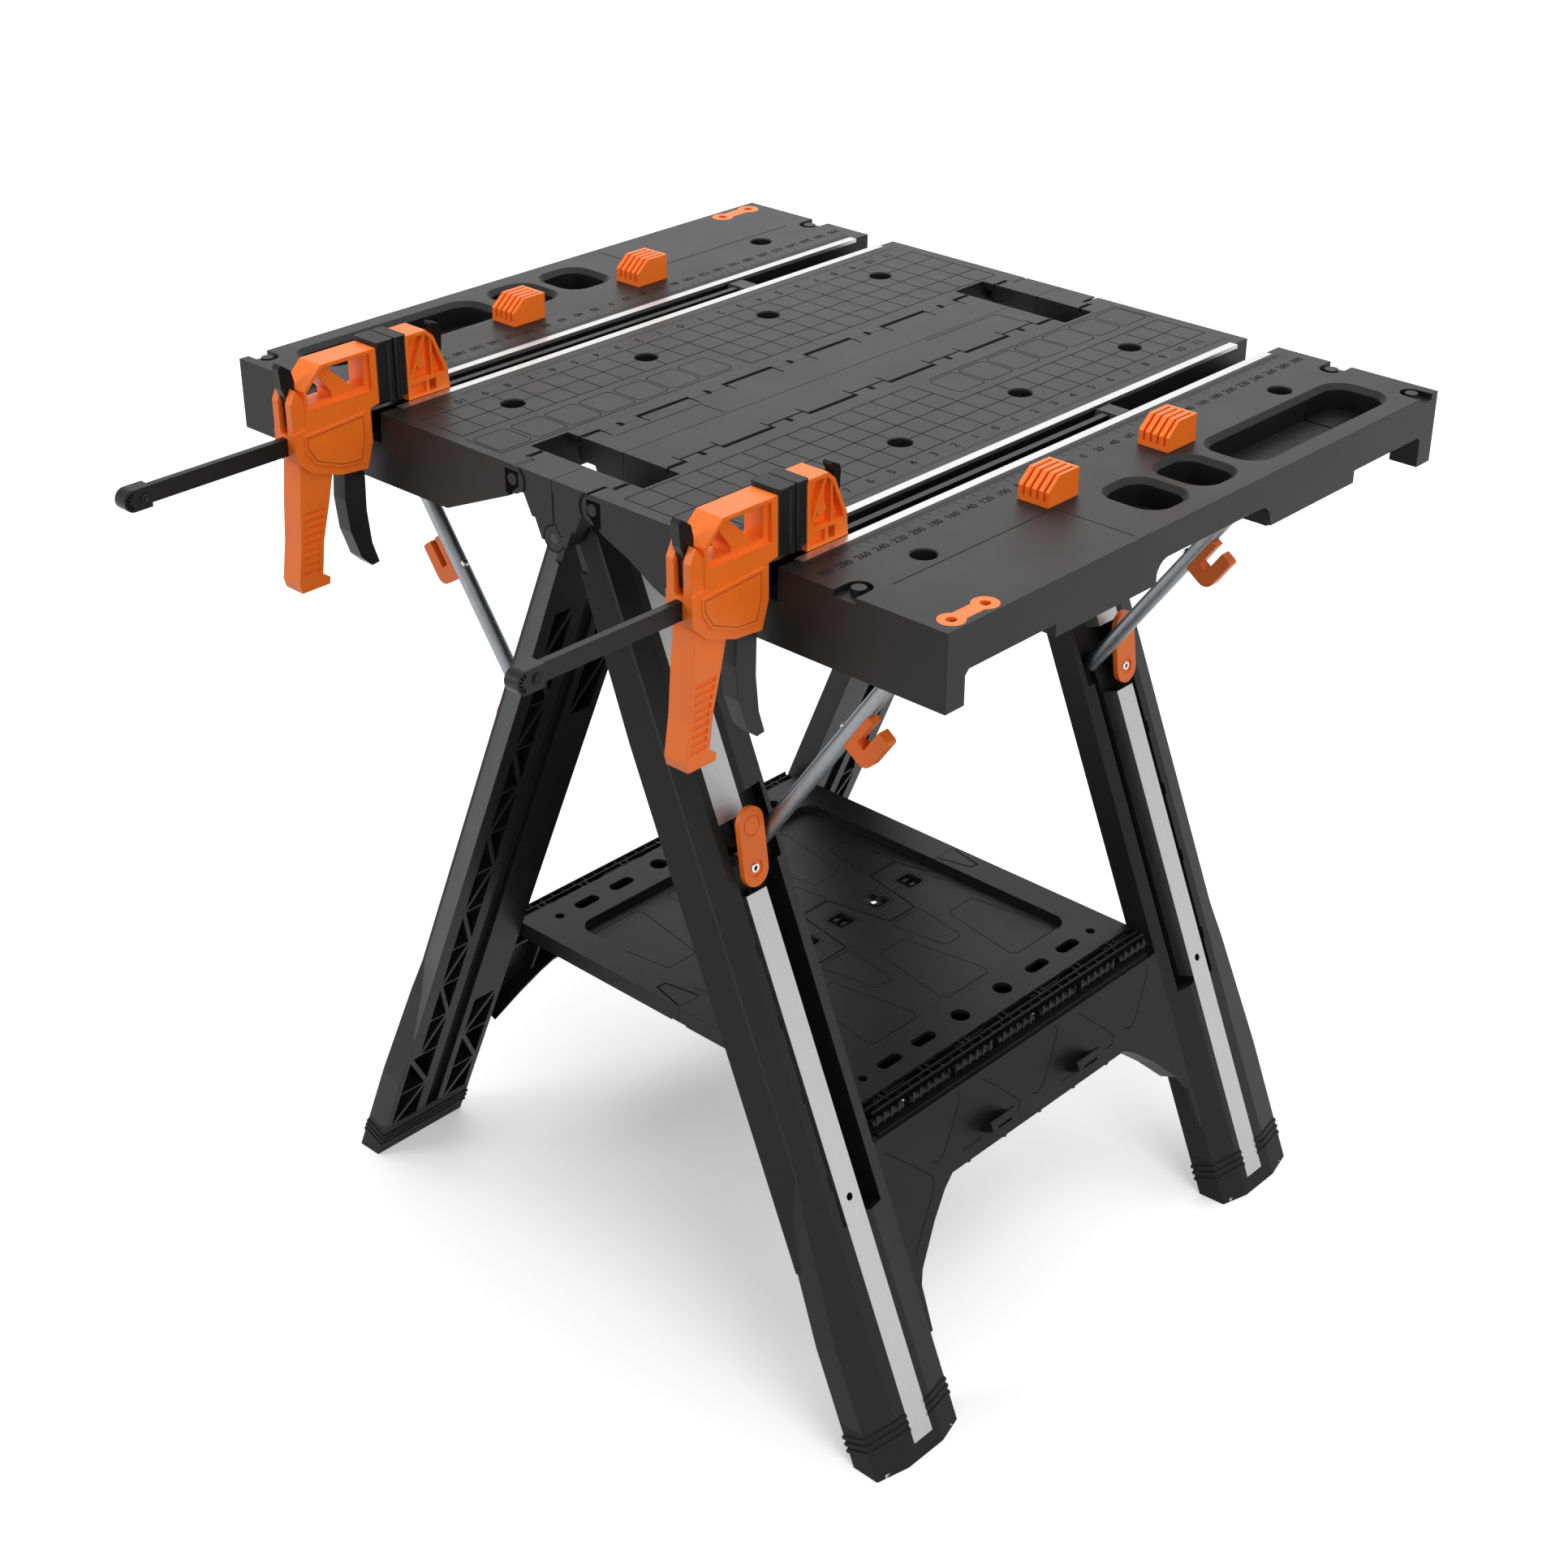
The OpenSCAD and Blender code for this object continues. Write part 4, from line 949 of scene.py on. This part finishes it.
def lip(bm):
    ribbon(bm, knuckle_lip, 1.3, proud=0.5)


def disc_ring(bm):
    """The ring, and the seam of the two halves that leads down to it."""
    ribbon(bm, apex_ring, 1.3)
    ribbon(bm, apex_seam, 1.3)


print("hinge eye drawn about", (HINGE_X, HINGE_Z))

# %% [markdown]
# The outlines are stamped on both end faces. The lip belongs to the spine, so it rides with the
# leg frame, and the recess and the boss turn with the table. Both frames turn on one bolt, so
# each end has one ring, and it rides with the right frame.

# %% Hinge eyes and apex rings
def on_end(side, end):
    """Lay a form's XY plane on an end face of the bench: X runs outwards and Y runs up."""
    return Matrix(((side, 0, 0, 0), (0, 0, end, end * END_FACE), (0, 1, 0, 0), (0, 0, 0, 1)))


for side_name, side in (("left", -1), ("right", 1)):
    recesses, bosses, rings = bmesh.new(), bmesh.new(), bmesh.new()
    for end in (-1, 1):
        stamp(recesses, recess_plate, on_end(side, end))
        stamp(bosses, eye_boss, on_end(side, end))
        stamp(rings, lip, on_end(side, end))
        if side_name == "right":
            stamp(rings, disc_ring, on_end(side, end))
    wing = f"{side_name}_wing"
    to_piece(f"eye_lip_{side_name}", rings, f"{side_name}_frame", groove_shade)
    to_piece(f"eye_recess_{side_name}", recesses, wing, hollow_shade)
    to_piece(f"eye_boss_{side_name}", bosses, wing, black_plastic)
print("hinge eyes at four corners")

# %% [markdown]
# The clamps carry a raised plate with a border, on both sides of the grip, and the border is a
# line of painted shade in burnt orange. The stop at the end of each bar is hollow moulded: a fan
# of dark wedges round its end, and a screw that holds it to the bar. The wedges are thin plates
# on the stop's side, painted the black of the shade in real hollows, so they look as deep to the
# eye.

# %% Outlines of the clamp details
STOP_Y, STOP_Z = -548, 803.6
plate_border = [(-389.2, 802.4), (-389.2, 810.6), (-332.8, 814.0), (-332.8, 794.6),
                (-337.6, 778.0), (-357.4, 779.8), (-381.2, 789.4)]


def border(bm):
    # The border is a line of painted shade.
    ribbon(bm, plate_border, 0.8, closed=True)


def fan(bm):
    # Each wedge is painted shade of a hollow.
    for start in range(96, 260, 28):
        corners = ((3.4, start + 4), (7.2, start), (7.2, start + 20), (3.4, start + 16))
        wedge = [arc((STOP_Y, STOP_Z), radius, [angle])[0] for radius, angle in corners]
        loft(bm, [[(x, y, depth) for x, y in wedge] for depth in (-0.1, 0.05)])


def socket_screw(bm):
    revolve(bm, [(0.0, 0.1), (1.5, 0.1), (1.7, 0.8), (3.2, 0.8), (3.6, 0.3), (3.6, -0.2)])


print("plate border points", len(plate_border))

# %% [markdown]
# Each clamp lies along its channel, 221.5 mm from the middle. A matrix lays the outlines on a
# side of it, at the half width of the grip, of the stop or of the screw's seat, and the same
# forms serve both sides of both clamps.

# %% Clamp borders and bar stops
CHANNEL_MIDDLE = 221.5
GRIP_SIDE, STOP_SIDE, SCREW_SIDE = 13.9, 6.5, 7.6


def on_side(x, side):
    """Lay a form's XY plane on the side of a clamp: its X runs along Y and its Y runs up."""
    return Matrix(((0, 0, side, x), (1, 0, 0, 0), (0, 1, 0, 0), (0, 0, 0, 1)))


for name, middle in (("left", -CHANNEL_MIDDLE), ("right", CHANNEL_MIDDLE)):
    borders, fans, screws = bmesh.new(), bmesh.new(), bmesh.new()
    for side in (-1, 1):
        stamp(borders, border, on_side(middle + GRIP_SIDE * side, side))
        stamp(fans, fan, on_side(middle + STOP_SIDE * side, side))
        screw_place = (middle + SCREW_SIDE * side, -538.6, 803.2)
        stamp(screws, socket_screw, facing(screw_place, (side, 0, 0)))
    to_piece(f"plate_border_{name}", borders, f"grip_{name}", orange_shade)
    to_piece(f"stop_hollow_shade_{name}", fans, f"bar_{name}", hollow_shade)
    to_piece(f"stop_screw_{name}", screws, f"bar_{name}", bar_steel, smooth=True)
print("clamp details on")

# %% [markdown]
# The studio is a white floor that runs on past the picture's edges, so it is also the
# background. A white floor would throw so much light back that the black plastic went grey.
# So the floor is white to the camera and in reflections, and mid grey to the soft light that
# bounces off it, which keeps the shadow and leaves the plastic black. To the camera it also
# glows a little, and more with distance from the bench, where the lamps fade.

# %% Floor
FLOOR_HALF = 14
GLOW_NEAR, GLOW_FAR = 0.32, 0.85


def studio_floor():
    material, tree, shader = new_material("studio_paper")
    path = add(tree, "ShaderNodeLightPath")
    seen = add(tree, "ShaderNodeMath", {0: path.outputs["Is Camera Ray"],
                                        1: path.outputs["Is Glossy Ray"]}, operation="ADD")
    seen = add(tree, "ShaderNodeMath",
               {0: seen.outputs[0], 1: path.outputs["Is Transmission Ray"]},
               operation="ADD", use_clamp=True)
    paper = add(tree, "ShaderNodeMix",
                {0: seen.outputs[0], 6: colour("#6e6e6e"), 7: colour("#fbfbfb")},
                data_type="RGBA")
    tree.links.new(paper.outputs[2], shader.inputs["Base Color"])
    place = add(tree, "ShaderNodeTexCoord").outputs["Object"]
    distance = add(tree, "ShaderNodeVectorMath", {0: place}, operation="LENGTH")
    missing = add(tree, "ShaderNodeMapRange",
                  {"Value": distance.outputs["Value"], "From Min": 0.8, "From Max": 4.5,
                   "To Min": GLOW_NEAR, "To Max": GLOW_FAR})
    glow = add(tree, "ShaderNodeMath", {0: missing.outputs[0], 1: seen.outputs[0]},
               operation="MULTIPLY")
    tree.links.new(glow.outputs[0], shader.inputs["Emission Strength"])
    shader.inputs["Emission Color"].default_value = colour("#ffffff")
    shader.inputs["Roughness"].default_value = 0.9
    shader.inputs["Specular IOR Level"].default_value = 0.0
    return material


floor_bmesh = bmesh.new()
bmesh.ops.create_grid(floor_bmesh, x_segments=1, y_segments=1, size=FLOOR_HALF)
floor_mesh = bpy.data.meshes.new("floor")
floor_bmesh.to_mesh(floor_mesh)
floor_bmesh.free()
floor = bpy.data.objects.new("floor", floor_mesh)
bpy.context.scene.collection.objects.link(floor)
floor_mesh.materials.append(studio_floor())
print("floor", floor.dimensions[:])

# %% [markdown]
# The light in the photograph falls mostly from above, through one very large soft box, with
# weak fill from the front left and the right. A weak box far behind the bench, on the left,
# gives the flat tops their sheen. Large lamps have soft edges, so no shadow here is hard.

# %% Lights
def soft_box(name, place, target, size, power):
    lamp = bpy.data.lights.new(name, "AREA")
    lamp.shape = "SQUARE"
    lamp.size = size
    lamp.energy = power
    lamp_object = bpy.data.objects.new(name, lamp)
    bpy.context.scene.collection.objects.link(lamp_object)
    aim = Vector(target) - Vector(place)
    lamp_object.rotation_euler = aim.to_track_quat("-Z", "Y").to_euler()
    lamp_object.location = place


soft_box("overhead_box", (0.0, 0.6, 4.6), (0.0, 0.0, 0.5), 6.0, 205)
soft_box("sheen_box", (-3.75, 4.2, 3.0), (0.0, 0.0, 0.8), 4.0, 32)
soft_box("front_left_fill", (-1.8, -3.4, 2.0), (0.0, 0.0, 0.6), 1.8, 44)
soft_box("right_fill", (3.4, -1.2, 2.0), (0.0, 0.0, 0.6), 1.8, 50)

# %% [markdown]
# The world adds a low even light from everywhere. It is plain white to the camera and in
# reflections, so that metal shows a bright room, but lights the bench only at 0.26 of that.

# %% World
AMBIENT = 0.26

world = bpy.data.worlds.new("studio")
bpy.context.scene.world = world
world.use_nodes = True
sky = world.node_tree
sky.nodes.clear()
path = add(sky, "ShaderNodeLightPath")
seen = add(sky, "ShaderNodeMath", {0: path.outputs["Is Camera Ray"],
                                   1: path.outputs["Is Glossy Ray"]},
           operation="ADD", use_clamp=True)
light = add(sky, "ShaderNodeBackground", {"Color": colour("#ffffff"), "Strength": AMBIENT})
shown = add(sky, "ShaderNodeBackground", {"Color": colour("#ffffff"), "Strength": 1.0})
mixed = add(sky, "ShaderNodeMixShader",
            {0: seen.outputs[0], 1: light.outputs[0], 2: shown.outputs[0]})
add(sky, "ShaderNodeOutputWorld", {"Surface": mixed.outputs[0]})
bpy.context.scene.view_settings.view_transform = "Standard"
print("ambient light", AMBIENT)
